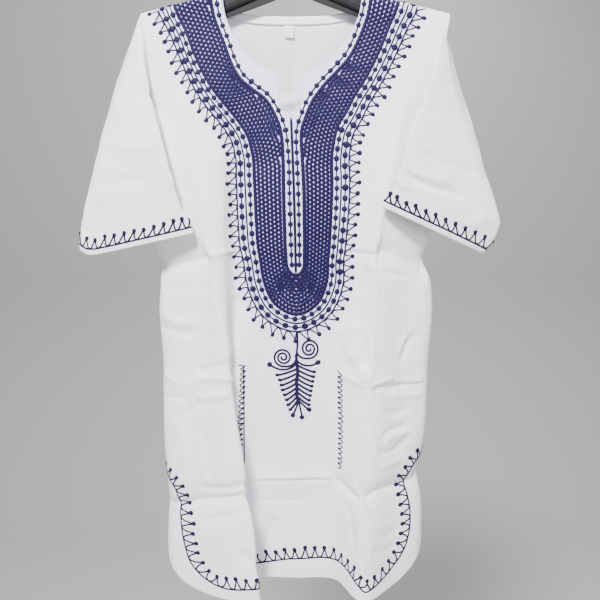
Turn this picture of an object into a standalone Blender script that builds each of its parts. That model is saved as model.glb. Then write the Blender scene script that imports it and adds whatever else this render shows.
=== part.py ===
"""Dashiki shirt on a plastic hanger.

The front and the back are cut as flat patterns and hung over the hanger's
arms in soft vertical folds. The sleeves are tubes that hang from the armholes
with their inner edges in front of the body. Metres, +Z up, the front of the
shirt towards -Y, origin at the inside top of the hanger's hook.
"""
import math

import bmesh
import bpy
import numpy as np

# --- the cloth -----------------------------------------------------------
WALL = 0.0012              # cloth, with its turned seams
SEAM_HALF_GAP = 0.0004     # from a seam's middle to each piece's edge
LAYER_GAP = 0.0004         # between a piece and what it lies on

# --- the flat pattern, depths measured down from the neck point ----------
NECK_HEIGHT = -0.106       # height of the neck point under the hook's inside top
NECK_HALF_WIDTH = 0.100
NECK_DROP = 0.122          # round part of the front neckline
NOTCH_START = 0.985        # share of the round part's drop where the notch begins
NOTCH_DEPTH = 0.190        # tip of the notch under the round neckline
BACK_NECK_DROP = 0.028
BACK_NECK_POWER = 3.0      # squareness of the back neckline
SLIT_END = 0.415           # foot of the front slit
SHOULDER_HALF_WIDTH = 0.222
SHOULDER_DROP = 0.028
UNDERARM_DEPTH = 0.265
CHEST_HALF_WIDTH = 0.245
SHIRT_LENGTH = 0.924
HEM_HALF_WIDTH = 0.268
CORNER_RISE = 0.106        # height of the rounded hem corner
CORNER_WIDTH = 0.082
VENT_TOP = 0.725
VENT_HALF_GAP = 0.004      # front and back edges apart below the vent
ARMHOLE_HALF_WIDTH = 0.019
SHOULDER_ROUND = 0.009     # how soon the cloth turns down over the hanger

# --- the hanger ----------------------------------------------------------
ARM_HEIGHT = 0.027
ARM_THICKNESS = 0.0105
ARM_HALF_SPAN = 0.213
ARM_RISE_IN_NECK = math.tan(math.radians(22.0))
ARM_TAPER = 0.35           # how much lower the arm is at its tip
ARM_TIP_LENGTH = 0.008     # rounded end of each arm
ARM_TIP_SIZE = 0.25
ARM_SIDES = 14
HOOK_INSIDE_RADIUS = 0.019
HOOK_THICKNESS = 0.0075
HOOK_ROOT = 0.010          # how deep the rod starts inside the arms
HOOK_NECK = 0.009          # straight rod above the arms
HOOK_START = math.radians(-38)
HOOK_END = math.radians(205)

# --- pieces inside the back neck -----------------------------------------
FACING_WIDTH = 0.012
LABEL_WIDTH = 0.014
LABEL_HEIGHT = 0.017
LABEL_CENTRE = -0.006

# Where the side seams hang, a row for each height under the hook: x of the left
# seam, x of the right seam, and y of both.
SIDE_SEAMS = (
    (-0.140, (-0.222, 0.226, 0.000)),
    (-0.190, (-0.214, 0.212, 0.000)),
    (-0.260, (-0.210, 0.203, 0.001)),
    (-0.330, (-0.215, 0.211, 0.001)),
    (-0.390, (-0.220, 0.221, 0.002)),
    (-0.520, (-0.202, 0.207, 0.003)),
    (-0.680, (-0.203, 0.208, 0.004)),
    (-0.800, (-0.204, 0.203, 0.006)),
    (-0.910, (-0.209, 0.206, 0.008)),
    (-1.032, (-0.208, 0.206, 0.009)),
)

# How the front hangs between them: x and y of the pressed crease, the left
# lobe's crest, its folded edge, the turn under the edge, the deepest point
# behind it, the root where the middle starts, the centre line, the flat beside
# it, the right ridge and the slope beyond the ridge.
FRONT_COLUMNS = ("crease", "lobe", "edge", "under", "behind", "root",
                 "centre", "flat", "ridge", "slope")
FRONT_SECTIONS = (
    (-0.150, ((-0.170, -0.013), (-0.130, -0.014), (-0.115, -0.014), (-0.100, -0.014),
              (-0.085, -0.014), (-0.070, -0.014), (-0.006, -0.014), (0.060, -0.014),
              (0.110, -0.014), (0.170, -0.013))),
    (-0.250, ((-0.165, -0.027), (-0.132, -0.030), (-0.115, -0.029), (-0.100, -0.027),
              (-0.085, -0.026), (-0.070, -0.027), (-0.005, -0.030), (0.060, -0.029),
              (0.118, -0.029), (0.172, -0.024))),
    (-0.390, ((-0.150, -0.041), (-0.122, -0.047), (-0.106, -0.044), (-0.098, -0.037),
              (-0.090, -0.031), (-0.075, -0.032), (0.000, -0.040), (0.060, -0.038),
              (0.134, -0.043), (0.174, -0.029))),
    (-0.520, ((-0.132, -0.046), (-0.116, -0.050), (-0.105, -0.046), (-0.099, -0.039),
              (-0.091, -0.031), (-0.076, -0.031), (0.003, -0.038), (0.068, -0.034),
              (0.131, -0.047), (0.170, -0.031))),
    (-0.680, ((-0.126, -0.049), (-0.109, -0.056), (-0.097, -0.053), (-0.098, -0.044),
              (-0.096, -0.032), (-0.078, -0.029), (0.005, -0.033), (0.068, -0.031),
              (0.122, -0.051), (0.165, -0.033))),
    (-0.800, ((-0.130, -0.050), (-0.096, -0.062), (-0.079, -0.060), (-0.081, -0.050),
              (-0.092, -0.033), (-0.081, -0.024), (0.008, -0.026), (0.066, -0.027),
              (0.115, -0.056), (0.161, -0.036))),
    (-0.910, ((-0.134, -0.050), (-0.085, -0.067), (-0.064, -0.066), (-0.067, -0.055),
              (-0.092, -0.032), (-0.083, -0.020), (0.010, -0.018), (0.063, -0.021),
              (0.110, -0.062), (0.159, -0.038))),
    (-1.032, ((-0.136, -0.048), (-0.078, -0.070), (-0.054, -0.070), (-0.058, -0.058),
              (-0.092, -0.030), (-0.084, -0.016), (0.012, -0.012), (0.060, -0.016),
              (0.110, -0.067), (0.157, -0.040))),
)

# How the back hangs between them, in three soft folds.
BACK_COLUMNS = ("bow_left", "dip_left", "centre", "dip_right", "bow_right")
BACK_SECTIONS = (
    (-0.150, ((-0.160, 0.013), (-0.080, 0.014), (-0.006, 0.015), (0.080, 0.014), (0.160, 0.013))),
    (-0.250, ((-0.160, 0.028), (-0.080, 0.031), (-0.004, 0.032), (0.080, 0.031), (0.162, 0.028))),
    (-0.390, ((-0.155, 0.040), (-0.078, 0.042), (0.000, 0.044), (0.078, 0.041), (0.156, 0.040))),
    (-0.520, ((-0.146, 0.043), (-0.070, 0.043), (0.002, 0.048), (0.072, 0.042), (0.148, 0.044))),
    (-0.680, ((-0.146, 0.050), (-0.068, 0.042), (0.003, 0.052), (0.071, 0.040), (0.147, 0.050))),
    (-0.800, ((-0.146, 0.056), (-0.066, 0.040), (0.004, 0.056), (0.070, 0.038), (0.146, 0.055))),
    (-0.910, ((-0.146, 0.060), (-0.065, 0.039), (0.004, 0.059), (0.069, 0.037), (0.146, 0.058))),
    (-1.032, ((-0.146, 0.063), (-0.064, 0.038), (0.004, 0.061), (0.068, 0.036), (0.146, 0.061))),
)
SIDE_TURN = 0.009          # length of cloth that turns round the side

# How each sleeve hangs, for the left and for the right arm: corners of the
# cuff, the lift of the outer fold over its corner, the pull at the armhole and
# how far the sleeve's front folds in over the body.
SLEEVES = {
    "left": dict(side=-1.0, outer=(-0.315, -0.026, -0.493), inner=(-0.147, -0.060, -0.453),
                 lift=(-0.009, 0.004, 0.032), shoulder_pull=(-0.115, 0.0, -0.165), overlap=0.040),
    "right": dict(side=1.0, outer=(0.283, -0.028, -0.485), inner=(0.129, -0.060, -0.415),
                  lift=(0.026, 0.006, 0.052), shoulder_pull=(0.085, 0.0, -0.165), overlap=0.052),
}
CUFF_HALF_DEPTH = 0.011
SLEEVE_START_GAP = 0.0015  # from the body's armhole edge to the sleeve's
FORWARD_PULL = 0.150       # how far the sleeve's front runs ahead of the armhole
OUTWARD_PULL = 0.210       # how far its back runs out before it turns forward

# The weights of a sleeve's loft, found by hanging it and looking at its folds.
UNDERSIDE_OUTWARD = 0.30   # share of OUTWARD_PULL under the arm
BACK_OUTWARD = 0.75        # share of OUTWARD_PULL at the sleeve's back
FRONT_FORWARD = 0.8        # share of FORWARD_PULL added at the sleeve's front
CUFF_FALL = -0.20          # how steeply the outer fold reaches the cuff
CUFF_FALL_UNDER = 0.08     # how much less steeply the inner fold does
FOLD_CORNER_POWER = 12     # how close to the outer fold its corner is lifted
FOLD_IN_REACH = 1.15
FOLD_IN_PEAK = 10.9        # brings the fold-in curve's highest value to one

# --- counts and rows -----------------------------------------------------
TOP_ROWS = (0.0, 0.0012, 0.004, 0.009)    # depths that turn over the shoulder
FRONT_NECK_ROWS = (0.022, 0.038, 0.054, 0.070, 0.085, 0.098, 0.108, 0.115)
NOTCH_ROWS = (0.137, 0.156, 0.173)
BACK_NECK_ROWS = (0.015, 0.021, 0.0255, 0.0272)
ARMHOLE_ROWS = (0.078, 0.100, 0.125, 0.152, 0.180, 0.210, 0.240)
UNDERARM_ROWS = (0.300, 0.335)            # side depths under the armhole
LEVEL_DEPTH = 0.370                       # rows run straight across from here down
SIDE_ROW_STRETCH = 1.05                   # side depth gained per depth at the centre
LEAST_ROW = 0.010
CORNER_ANGLES = (15, 30, 43, 55, 66, 78, 90)
ROWS_BELOW_NOTCH = 15
SLEEVE_SIDES = 24
SLEEVE_RINGS = 10
SECTION_SAMPLES = 160


def smooth(knots, values, at):
    """Cubic curve through the values at rising knots, read at the places given."""
    steps = np.diff(knots)
    slopes = np.diff(values, axis=0) / steps[:, None]
    tangents = np.empty_like(values)
    tangents[0] = slopes[0]
    tangents[-1] = slopes[-1]
    weighted = slopes[:-1] * steps[1:, None] + slopes[1:] * steps[:-1, None]
    tangents[1:-1] = weighted / (steps[:-1] + steps[1:])[:, None]
    index = np.clip(np.searchsorted(knots, at, side="right") - 1, 0, len(knots) - 2)
    step = steps[index][:, None]
    t = (at - knots[index])[:, None] / step
    start = (1 + 2 * t) * (1 - t) ** 2 * values[index] + t * (1 - t) ** 2 * step * tangents[index]
    end = t * t * (3 - 2 * t) * values[index + 1] - t * t * (1 - t) * step * tangents[index + 1]
    return start + end


def ease(value):
    """0 to 1 with level ends."""
    value = min(max(value, 0.0), 1.0)
    return value * value * (3 - 2 * value)


def armhole_half_width(depth):
    """How far the armhole's edge stands from the side seam's line."""
    span = (depth - SHOULDER_DROP) / (UNDERARM_DEPTH - SHOULDER_DROP)
    span = min(max(span, 0.0), 1.0)
    return ARMHOLE_HALF_WIDTH * max(0.0, math.sin(math.pi * (0.15 + 0.85 * span))) ** 0.8


def pattern_half_width(depth):
    """Half width of the cut at a depth, from the centre line to the side."""
    if depth < UNDERARM_DEPTH:
        share = ease((depth - SHOULDER_DROP) / (UNDERARM_DEPTH - SHOULDER_DROP))
        return SHOULDER_HALF_WIDTH + share * (CHEST_HALF_WIDTH - SHOULDER_HALF_WIDTH)
    share = (depth - UNDERARM_DEPTH) / (SHIRT_LENGTH - UNDERARM_DEPTH)
    return CHEST_HALF_WIDTH + share * (HEM_HALF_WIDTH - CHEST_HALF_WIDTH)


def edge_share(depth):
    """Where the cut ends, as a share of the half width: rounded at the hem's corners."""
    below = (depth - (SHIRT_LENGTH - CORNER_RISE)) / CORNER_RISE
    if below <= 0:
        return 1.0
    inset = CORNER_WIDTH * (1 - math.sqrt(max(0.0, 1 - below * below)))
    return 1.0 - inset / pattern_half_width(depth)


class Panel:
    """The front or the back as it hangs: a point of the cut, placed in space."""

    def __init__(self, sections, columns, facing):
        self.heights = np.array([row[0] for row in sections])[::-1]
        self.folds = np.array([row[1] for row in sections])[::-1]
        self.seam_heights = np.array([row[0] for row in SIDE_SEAMS])[::-1]
        self.seams = np.array([row[1] for row in SIDE_SEAMS])[::-1]
        self.centre = columns.index("centre")
        self.facing = facing
        self.kept = {}

    def section(self, height):
        """Points along the section at a height, their lengths, and the centre line's length."""
        key = round(height, 6)
        if key in self.kept:
            return self.kept[key]
        flat = self.folds.reshape(len(self.heights), -1)
        at = min(max(height, self.heights[0]), self.heights[-1])
        folds = smooth(self.heights, flat, np.array([at])).reshape(-1, 2)
        at = min(max(height, self.seam_heights[0]), self.seam_heights[-1])
        left, right, middle_y = smooth(self.seam_heights, self.seams, np.array([at]))[0]
        depth = NECK_HEIGHT - height
        apart = SEAM_HALF_GAP + armhole_half_width(depth)
        apart += VENT_HALF_GAP * ease((depth - VENT_TOP) / (SHIRT_LENGTH - VENT_TOP))
        turn = 0.5 * math.pi * ease((depth - 0.6 * UNDERARM_DEPTH) / (0.4 * UNDERARM_DEPTH))
        seam_y = middle_y + self.facing * apart
        across = SIDE_TURN * math.cos(turn)
        turned_y = seam_y + self.facing * SIDE_TURN * math.sin(turn)
        first = ((left, seam_y), (left + across, turned_y))
        last = ((right - across, turned_y), (right, seam_y))
        points = np.vstack([first, folds, last])
        chords = np.linalg.norm(np.diff(points, axis=0), axis=1)
        knots = np.concatenate([[0.0], np.cumsum(chords)])
        places = np.linspace(0.0, knots[-1], SECTION_SAMPLES)
        curve = smooth(knots, points, places)
        lengths = np.linalg.norm(np.diff(curve, axis=0), axis=1)
        lengths = np.concatenate([[0.0], np.cumsum(lengths)])
        middle = np.interp(knots[self.centre + len(first)], places, lengths)
        self.kept[key] = (curve, lengths, middle)
        return self.kept[key]

    def place(self, share, depth):
        """Point of the hung cloth at a share of the half width and a depth of the cut."""
        height = NECK_HEIGHT - depth
        curve, lengths, middle = self.section(height)
        if share < 0:
            along = middle * (1 + share)
        else:
            along = middle + (lengths[-1] - middle) * share
        x = np.interp(along, lengths, curve[:, 0])
        y = np.interp(along, lengths, curve[:, 1])
        across = abs(share) * pattern_half_width(depth)
        beyond_neck = max(0.0, across - NECK_HALF_WIDTH)
        slope = SHOULDER_DROP / (SHOULDER_HALF_WIDTH - NECK_HALF_WIDTH)
        under = min(max(0.0, depth - beyond_neck * slope) / SHOULDER_ROUND, 1.0)
        round_over = math.sqrt(1 - (1 - under) ** 2)
        y = self.facing * SEAM_HALF_GAP + (y - self.facing * SEAM_HALF_GAP) * round_over
        return (float(x), float(y), height)


FRONT = Panel(FRONT_SECTIONS, FRONT_COLUMNS, -1.0)
BACK = Panel(BACK_SECTIONS, BACK_COLUMNS, 1.0)


def front_neck(depth):
    """Half width of the front neckline: a half ellipse, a notch and then the slit."""
    notch_top = NOTCH_START * NECK_DROP
    if depth < notch_top:
        return NECK_HALF_WIDTH * math.sqrt(1 - (depth / NECK_DROP) ** 2)
    notch_half_width = front_neck(notch_top - 1e-9)
    share = (depth - notch_top) / (NOTCH_DEPTH - notch_top)
    return max(SEAM_HALF_GAP, notch_half_width * (1 - share))


def back_neck(depth):
    """Half width of the back neckline."""
    share = min(depth / BACK_NECK_DROP, 1.0)
    return NECK_HALF_WIDTH * (1 - share ** BACK_NECK_POWER) ** (1 / BACK_NECK_POWER)


def paint(name, hex_colour, roughness):
    """Principled material in one colour."""
    material = bpy.data.materials.new(name)
    material.use_nodes = True
    shader = material.node_tree.nodes["Principled BSDF"]
    channels = [int(hex_colour[i:i + 2], 16) / 255 for i in (0, 2, 4)]
    linear = [(c / 12.92 if c <= 0.04045 else ((c + 0.055) / 1.055) ** 2.4) for c in channels]
    shader.inputs["Base Color"].default_value = (*linear, 1.0)
    shader.inputs["Roughness"].default_value = roughness
    return material


def make_piece(name, points, faces, material, collection, thickness=WALL):
    """A sheet of cloth from its points, made a wall by Solidify."""
    mesh = bpy.data.meshes.new(name)
    mesh.from_pydata(points, [], faces)
    mesh.materials.append(material)
    mesh.shade_smooth()
    piece = bpy.data.objects.new(name, mesh)
    collection.objects.link(piece)
    wall = piece.modifiers.new("wall", "SOLIDIFY")
    wall.thickness = thickness
    wall.offset = 0.0
    return piece


def row_depths(neck_depths, slit_end):
    """Rows of the cut from the shoulder to the hem: depth at the centre, depth at the side."""
    last_neck = neck_depths[-1]
    start = SHOULDER_DROP + last_neck * SIDE_ROW_STRETCH
    rows = [(depth, SHOULDER_DROP + depth * SIDE_ROW_STRETCH) for depth in neck_depths]
    side_steps = [side for side in (*ARMHOLE_ROWS, UNDERARM_DEPTH) if side > start + LEAST_ROW]
    side_steps += UNDERARM_ROWS
    for count, side in enumerate(side_steps, 1):
        share = count / (len(side_steps) + 1)
        rows.append((last_neck + (LEVEL_DEPTH - last_neck) * share, side))
    corner_top = SHIRT_LENGTH - CORNER_RISE
    levels = list(np.linspace(LEVEL_DEPTH, corner_top, ROWS_BELOW_NOTCH))
    if slit_end:
        nearest = min(range(len(levels)), key=lambda i: abs(levels[i] - slit_end))
        levels[nearest] = slit_end
    rows += [(float(depth), float(depth)) for depth in levels]
    for angle in CORNER_ANGLES:
        depth = corner_top + CORNER_RISE * math.sin(math.radians(angle))
        rows.append((depth, depth))
    return rows


def make_panel(name, panel, neck_half_width, neck_depths, shares, slit_end, material, collection):
    """The front or the back: two halves of the cut, joined down the centre line."""
    rows = row_depths(neck_depths, slit_end)
    open_until = slit_end if slit_end else neck_depths[-1] - 1e-6
    points = []
    grid = {}
    for half in (-1.0, 1.0):
        for r, (centre_depth, side_depth) in enumerate(rows):
            gap = neck_half_width(centre_depth) if centre_depth < open_until else 0.0
            inner = gap / pattern_half_width(centre_depth)
            outer = edge_share(side_depth)
            for c, share in enumerate(shares[half]):
                if c == 0 and gap == 0.0 and (-1.0, r, 0) in grid:
                    grid[(half, r, c)] = grid[(-1.0, r, 0)]
                    continue
                across = inner + (outer - inner) * share
                depth = centre_depth + (side_depth - centre_depth) * share
                grid[(half, r, c)] = len(points)
                points.append(panel.place(half * across, depth))
    faces = []
    for half in (-1.0, 1.0):
        for r in range(len(rows) - 1):
            for c in range(len(shares[half]) - 1):
                face = [grid[(half, r, c)], grid[(half, r + 1, c)],
                        grid[(half, r + 1, c + 1)], grid[(half, r, c + 1)]]
                if half * panel.facing > 0:
                    face.reverse()
                faces.append(face)
    return make_piece(name, points, faces, material, collection)


def front_shares():
    """Columns of the front: close together over the left lobe's folded edge."""
    left = list(np.linspace(0.0, 0.27, 5)) + list(np.linspace(0.295, 0.55, 12))
    left += list(np.linspace(0.62, 1.0, 7))
    right = list(np.linspace(0.0, 1.0, 15))
    return {-1.0: left, 1.0: right}


def sleeve_point(spec, around, along):
    """Point of a sleeve: around from the top fold by the front, along from the armhole."""
    side = spec["side"]
    front_half = around <= 0.5
    span = around * 2 if front_half else 2 - around * 2
    depth = SHOULDER_DROP + (UNDERARM_DEPTH - SHOULDER_DROP) * (1 - math.cos(math.pi * span)) / 2
    panel = FRONT if front_half else BACK
    start = np.array(panel.place(side, depth))
    start[0] += side * SLEEVE_START_GAP
    if span in (0.0, 1.0):
        start[1] = (FRONT.place(side, depth)[1] + BACK.place(side, depth)[1]) / 2
    outer = np.array(spec["outer"])
    inner = np.array(spec["inner"])
    turn = 2 * math.pi * around
    end = outer + (inner - outer) * (1 - math.cos(turn)) / 2
    end[1] -= CUFF_HALF_DEPTH * math.sin(turn)
    end += np.array(spec["lift"]) * max(0.0, math.cos(turn)) ** FOLD_CORNER_POWER
    under = (1 - math.cos(turn)) / 2
    frontness = max(0.0, math.sin(turn))
    backness = max(0.0, -math.sin(turn))
    pull = (1 - under) * np.array(spec["shoulder_pull"])
    pull += under * np.array((side * UNDERSIDE_OUTWARD * OUTWARD_PULL, -FORWARD_PULL, 0.0))
    pull += frontness * np.array((0.0, -FRONT_FORWARD * FORWARD_PULL, 0.0))
    pull += backness * np.array((side * BACK_OUTWARD * OUTWARD_PULL, 0.0, 0.0))
    fall = np.array((0.0, 0.0, CUFF_FALL + CUFF_FALL_UNDER * under))
    t = along
    point = start * (1 + 2 * t) * (1 - t) ** 2 + pull * t * (1 - t) ** 2
    point = point + end * t * t * (3 - 2 * t) - fall * t * t * (1 - t)
    reach = spec["overlap"] * FOLD_IN_REACH * frontness * math.sqrt(0.3 + 0.7 * under)
    fold_in = reach * FOLD_IN_PEAK * t ** 1.5 * (1 - t) ** 2
    point[0] -= side * fold_in
    return tuple(float(value) for value in point)


def make_sleeve(name, spec, material, collection):
    """A tube of cloth from the armhole to the cuff, open at both ends."""
    points = []
    for ring in range(SLEEVE_RINGS + 1):
        along = (ring / SLEEVE_RINGS) ** 1.15
        for corner in range(SLEEVE_SIDES):
            points.append(sleeve_point(spec, corner / SLEEVE_SIDES, along))
    faces = []
    for ring in range(SLEEVE_RINGS):
        for corner in range(SLEEVE_SIDES):
            after = (corner + 1) % SLEEVE_SIDES
            face = [ring * SLEEVE_SIDES + corner, ring * SLEEVE_SIDES + after,
                    (ring + 1) * SLEEVE_SIDES + after, (ring + 1) * SLEEVE_SIDES + corner]
            if spec["side"] > 0:
                face.reverse()
            faces.append(face)
    return make_piece(name, points, faces, material, collection)


def make_facing(material, collection):
    """The narrow strip sewn inside the back neckline, made from the back's points."""
    points = []
    angles = np.radians(np.linspace(14, 166, 27))
    power = 2 / BACK_NECK_POWER
    for row in range(3):
        spread = row / 2
        for angle in angles:
            across = -math.copysign(abs(math.cos(angle)) ** power, math.cos(angle))
            depth = 0.0006 + BACK_NECK_DROP * math.sin(angle) ** power + FACING_WIDTH * spread
            share = across * (NECK_HALF_WIDTH + 0.0006) / pattern_half_width(depth)
            x, y, z = BACK.place(share, depth)
            points.append((x, y - WALL - LAYER_GAP, z))
    faces = []
    count = len(angles)
    for row in range(2):
        for c in range(count - 1):
            faces.append([row * count + c, (row + 1) * count + c,
                          (row + 1) * count + c + 1, row * count + c + 1])
    return make_piece("back_neck_facing", points, faces, material, collection, 0.0010)


def make_label(material, collection):
    """The bare woven label that hangs inside the back neck, under the facing."""
    top = BACK_NECK_DROP + FACING_WIDTH + 0.0012
    points = []
    for row in range(3):
        for column in range(3):
            depth = top + LABEL_HEIGHT * row / 2
            across = LABEL_CENTRE + LABEL_WIDTH * (column / 2 - 0.5)
            x, y, z = BACK.place(across / pattern_half_width(depth), depth)
            points.append((x, y - WALL - LAYER_GAP, z))
    faces = []
    for row in range(2):
        for c in range(2):
            faces.append([row * 3 + c, (row + 1) * 3 + c, (row + 1) * 3 + c + 1, row * 3 + c + 1])
    return make_piece("neck_label", points, faces, material, collection, 0.0008)


def arm_top(x):
    """Height of the hanger's upper edge: along the shoulder, steeper inside the neck."""
    side = math.copysign(1.0, x)
    neck_x = abs(FRONT.place(side * NECK_HALF_WIDTH / SHOULDER_HALF_WIDTH, 0.0)[0])
    tip_x = abs(FRONT.place(side, SHOULDER_DROP)[0])
    beyond = abs(x) - neck_x
    under_cloth = NECK_HEIGHT - WALL / 2 - LAYER_GAP
    if beyond > 0:
        return under_cloth - beyond * SHOULDER_DROP / (tip_x - neck_x)
    return under_cloth - beyond * ARM_RISE_IN_NECK


def make_arms(material, collection):
    """The hanger's two rounded arms, lofted from tip to tip through rounded sections."""
    neck_left = FRONT.place(-NECK_HALF_WIDTH / SHOULDER_HALF_WIDTH, 0.0)[0]
    neck_right = FRONT.place(NECK_HALF_WIDTH / SHOULDER_HALF_WIDTH, 0.0)[0]
    tip = (ARM_HALF_SPAN, ARM_HALF_SPAN - 0.002, ARM_HALF_SPAN - 0.006)
    straight_end = ARM_HALF_SPAN - 0.018
    stations = [-x for x in tip] + list(np.linspace(-straight_end, neck_left, 6))
    stations += list(np.linspace(neck_left, neck_right, 12))[1:-1]
    stations += list(np.linspace(neck_right, straight_end, 6)) + list(tip[::-1])
    arms = bmesh.new()
    rings = []
    for x in stations:
        past = max(0.0, (abs(x) - ARM_HALF_SPAN + ARM_TIP_LENGTH) / ARM_TIP_LENGTH)
        size = max(ARM_TIP_SIZE, math.sqrt(1 - past * past))
        taper = 1 - ARM_TAPER * ease((abs(x) - 0.5 * ARM_HALF_SPAN) / (0.5 * ARM_HALF_SPAN))
        height = ARM_HEIGHT * taper * size
        middle = arm_top(x) - ARM_HEIGHT * taper / 2
        middle += 0.35 * ARM_HEIGHT * taper * (1 - size)
        ring = []
        for corner in range(ARM_SIDES):
            turn = 2 * math.pi * corner / ARM_SIDES
            across = math.copysign(abs(math.sin(turn)) ** 0.7, math.sin(turn))
            up = math.copysign(abs(math.cos(turn)) ** 0.8, math.cos(turn))
            y = across * size * ARM_THICKNESS / 2
            ring.append(arms.verts.new((x, y, middle + up * height / 2)))
        rings.append(ring)
    for first, second in zip(rings[:-1], rings[1:]):
        for corner in range(ARM_SIDES):
            after = (corner + 1) % ARM_SIDES
            arms.faces.new((first[corner], first[after], second[after], second[corner]))
    arms.faces.new(rings[0][::-1])
    arms.faces.new(rings[-1])
    bmesh.ops.recalc_face_normals(arms, faces=arms.faces)
    mesh = bpy.data.meshes.new("hanger")
    arms.to_mesh(mesh)
    arms.free()
    mesh.materials.append(material)
    mesh.shade_smooth()
    hanger = bpy.data.objects.new("hanger", mesh)
    collection.objects.link(hanger)
    return hanger


def hook_route():
    """Middle of the hook's rod, x and z: up from the arms, out to one side and over."""
    radius = HOOK_INSIDE_RADIUS + HOOK_THICKNESS / 2
    centre = -HOOK_INSIDE_RADIUS
    apex = arm_top(0.0)
    bend_foot = apex + HOOK_NECK
    route = [(0.0, apex - HOOK_ROOT)]
    route += [(0.0, apex + HOOK_NECK * share) for share in (0.0, 0.5)]
    foot_x = radius * math.cos(HOOK_START)
    foot_z = centre + radius * math.sin(HOOK_START)
    for share in np.linspace(0.0, 1.0, 6)[:-1]:
        route.append((foot_x * ease(share), bend_foot + (foot_z - bend_foot) * share))
    for angle in np.linspace(HOOK_START, HOOK_END, 19):
        route.append((radius * math.cos(angle), centre + radius * math.sin(angle)))
    return route


def make_hook(material, collection):
    """The hook's rod as a closed mesh, to be joined to the arms."""
    route = hook_route()
    curve = bpy.data.curves.new("hook", "CURVE")
    curve.dimensions = "3D"
    curve.bevel_depth = HOOK_THICKNESS / 2
    curve.bevel_resolution = 3
    curve.use_fill_caps = True
    spline = curve.splines.new("POLY")
    spline.points.add(len(route) - 1)
    for point, (x, z) in zip(spline.points, route):
        point.co = (x, 0.0, z, 1.0)
    rod = bpy.data.objects.new("hook_rod", curve)
    collection.objects.link(rod)
    bpy.context.view_layer.update()
    evaluated = rod.evaluated_get(bpy.context.evaluated_depsgraph_get())
    mesh = bpy.data.meshes.new_from_object(evaluated)
    bpy.data.objects.remove(rod)
    welded = bmesh.new()
    welded.from_mesh(mesh)
    bmesh.ops.remove_doubles(welded, verts=welded.verts, dist=1e-5)
    bmesh.ops.recalc_face_normals(welded, faces=welded.faces)
    welded.to_mesh(mesh)
    welded.free()
    mesh.materials.clear()
    mesh.materials.append(material)
    hook = bpy.data.objects.new("hook_to_join", mesh)
    hook.hide_render = True
    hook.display_type = "WIRE"
    collection.objects.link(hook)
    return hook


def make_hanger(material, collection, joining):
    """One moulded piece: the arms with the hook joined on."""
    hanger = make_arms(material, collection)
    join = hanger.modifiers.new("hook", "BOOLEAN")
    join.operation = "UNION"
    join.object = make_hook(material, joining)


def main():
    for item in list(bpy.data.objects):
        bpy.data.objects.remove(item)
    shirt = bpy.data.collections.new("dashiki_shirt")
    joining = bpy.data.collections.new("joining_shapes")
    bpy.context.scene.collection.children.link(shirt)
    bpy.context.scene.collection.children.link(joining)
    cotton = paint("white_cotton", "e6e6ea", 0.9)
    plastic = paint("black_plastic", "2b2d2f", 0.5)
    ribbon = paint("woven_label", "f2f2f2", 0.8)

    front_depths = [*TOP_ROWS, *FRONT_NECK_ROWS, NOTCH_START * NECK_DROP, *NOTCH_ROWS, NOTCH_DEPTH]
    back_depths = [*TOP_ROWS, *BACK_NECK_ROWS, BACK_NECK_DROP]
    back_columns = list(np.linspace(0.0, 1.0, 12))
    make_panel("front", FRONT, front_neck, front_depths, front_shares(), SLIT_END, cotton, shirt)
    make_panel("back", BACK, back_neck, back_depths, {-1.0: back_columns, 1.0: back_columns},
               None, cotton, shirt)
    for arm, spec in SLEEVES.items():
        make_sleeve("sleeve_" + arm, spec, cotton, shirt)
    make_facing(cotton, shirt)
    make_label(ribbon, shirt)
    make_hanger(plastic, shirt, joining)


main()
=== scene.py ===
"""Dashiki shirt on a plastic hanger.

The cotton pieces are thin shells laid over a drape of their flat cuts, with
their pressed creases as low ridges and troughs. A sleeve's cut is measured on
its own tube before the creases. The blue embroidery is cord and knots laid
along lines of the cut. Metres, +Z up, the front towards -Y.
"""
import math

import bpy
import numpy as np
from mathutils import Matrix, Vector, noise


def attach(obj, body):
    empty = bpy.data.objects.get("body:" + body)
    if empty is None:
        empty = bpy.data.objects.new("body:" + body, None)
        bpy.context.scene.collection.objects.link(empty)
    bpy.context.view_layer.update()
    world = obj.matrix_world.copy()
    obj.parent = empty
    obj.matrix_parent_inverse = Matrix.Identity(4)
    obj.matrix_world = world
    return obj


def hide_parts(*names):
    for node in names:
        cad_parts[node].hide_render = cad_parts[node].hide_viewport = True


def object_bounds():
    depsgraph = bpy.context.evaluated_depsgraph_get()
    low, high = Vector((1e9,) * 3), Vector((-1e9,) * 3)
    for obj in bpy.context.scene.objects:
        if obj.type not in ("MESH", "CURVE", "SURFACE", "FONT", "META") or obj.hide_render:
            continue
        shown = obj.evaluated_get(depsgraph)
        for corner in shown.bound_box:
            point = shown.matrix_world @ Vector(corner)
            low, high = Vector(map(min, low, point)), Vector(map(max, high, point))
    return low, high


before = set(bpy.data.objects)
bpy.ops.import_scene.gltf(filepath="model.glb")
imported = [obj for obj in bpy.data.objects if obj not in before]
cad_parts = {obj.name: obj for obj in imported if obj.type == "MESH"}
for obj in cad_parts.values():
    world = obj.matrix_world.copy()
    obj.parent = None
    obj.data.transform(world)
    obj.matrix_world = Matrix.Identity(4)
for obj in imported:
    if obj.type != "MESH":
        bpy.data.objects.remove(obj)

CAD_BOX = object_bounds()
BODY = "root"
MM = 0.001

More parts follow.
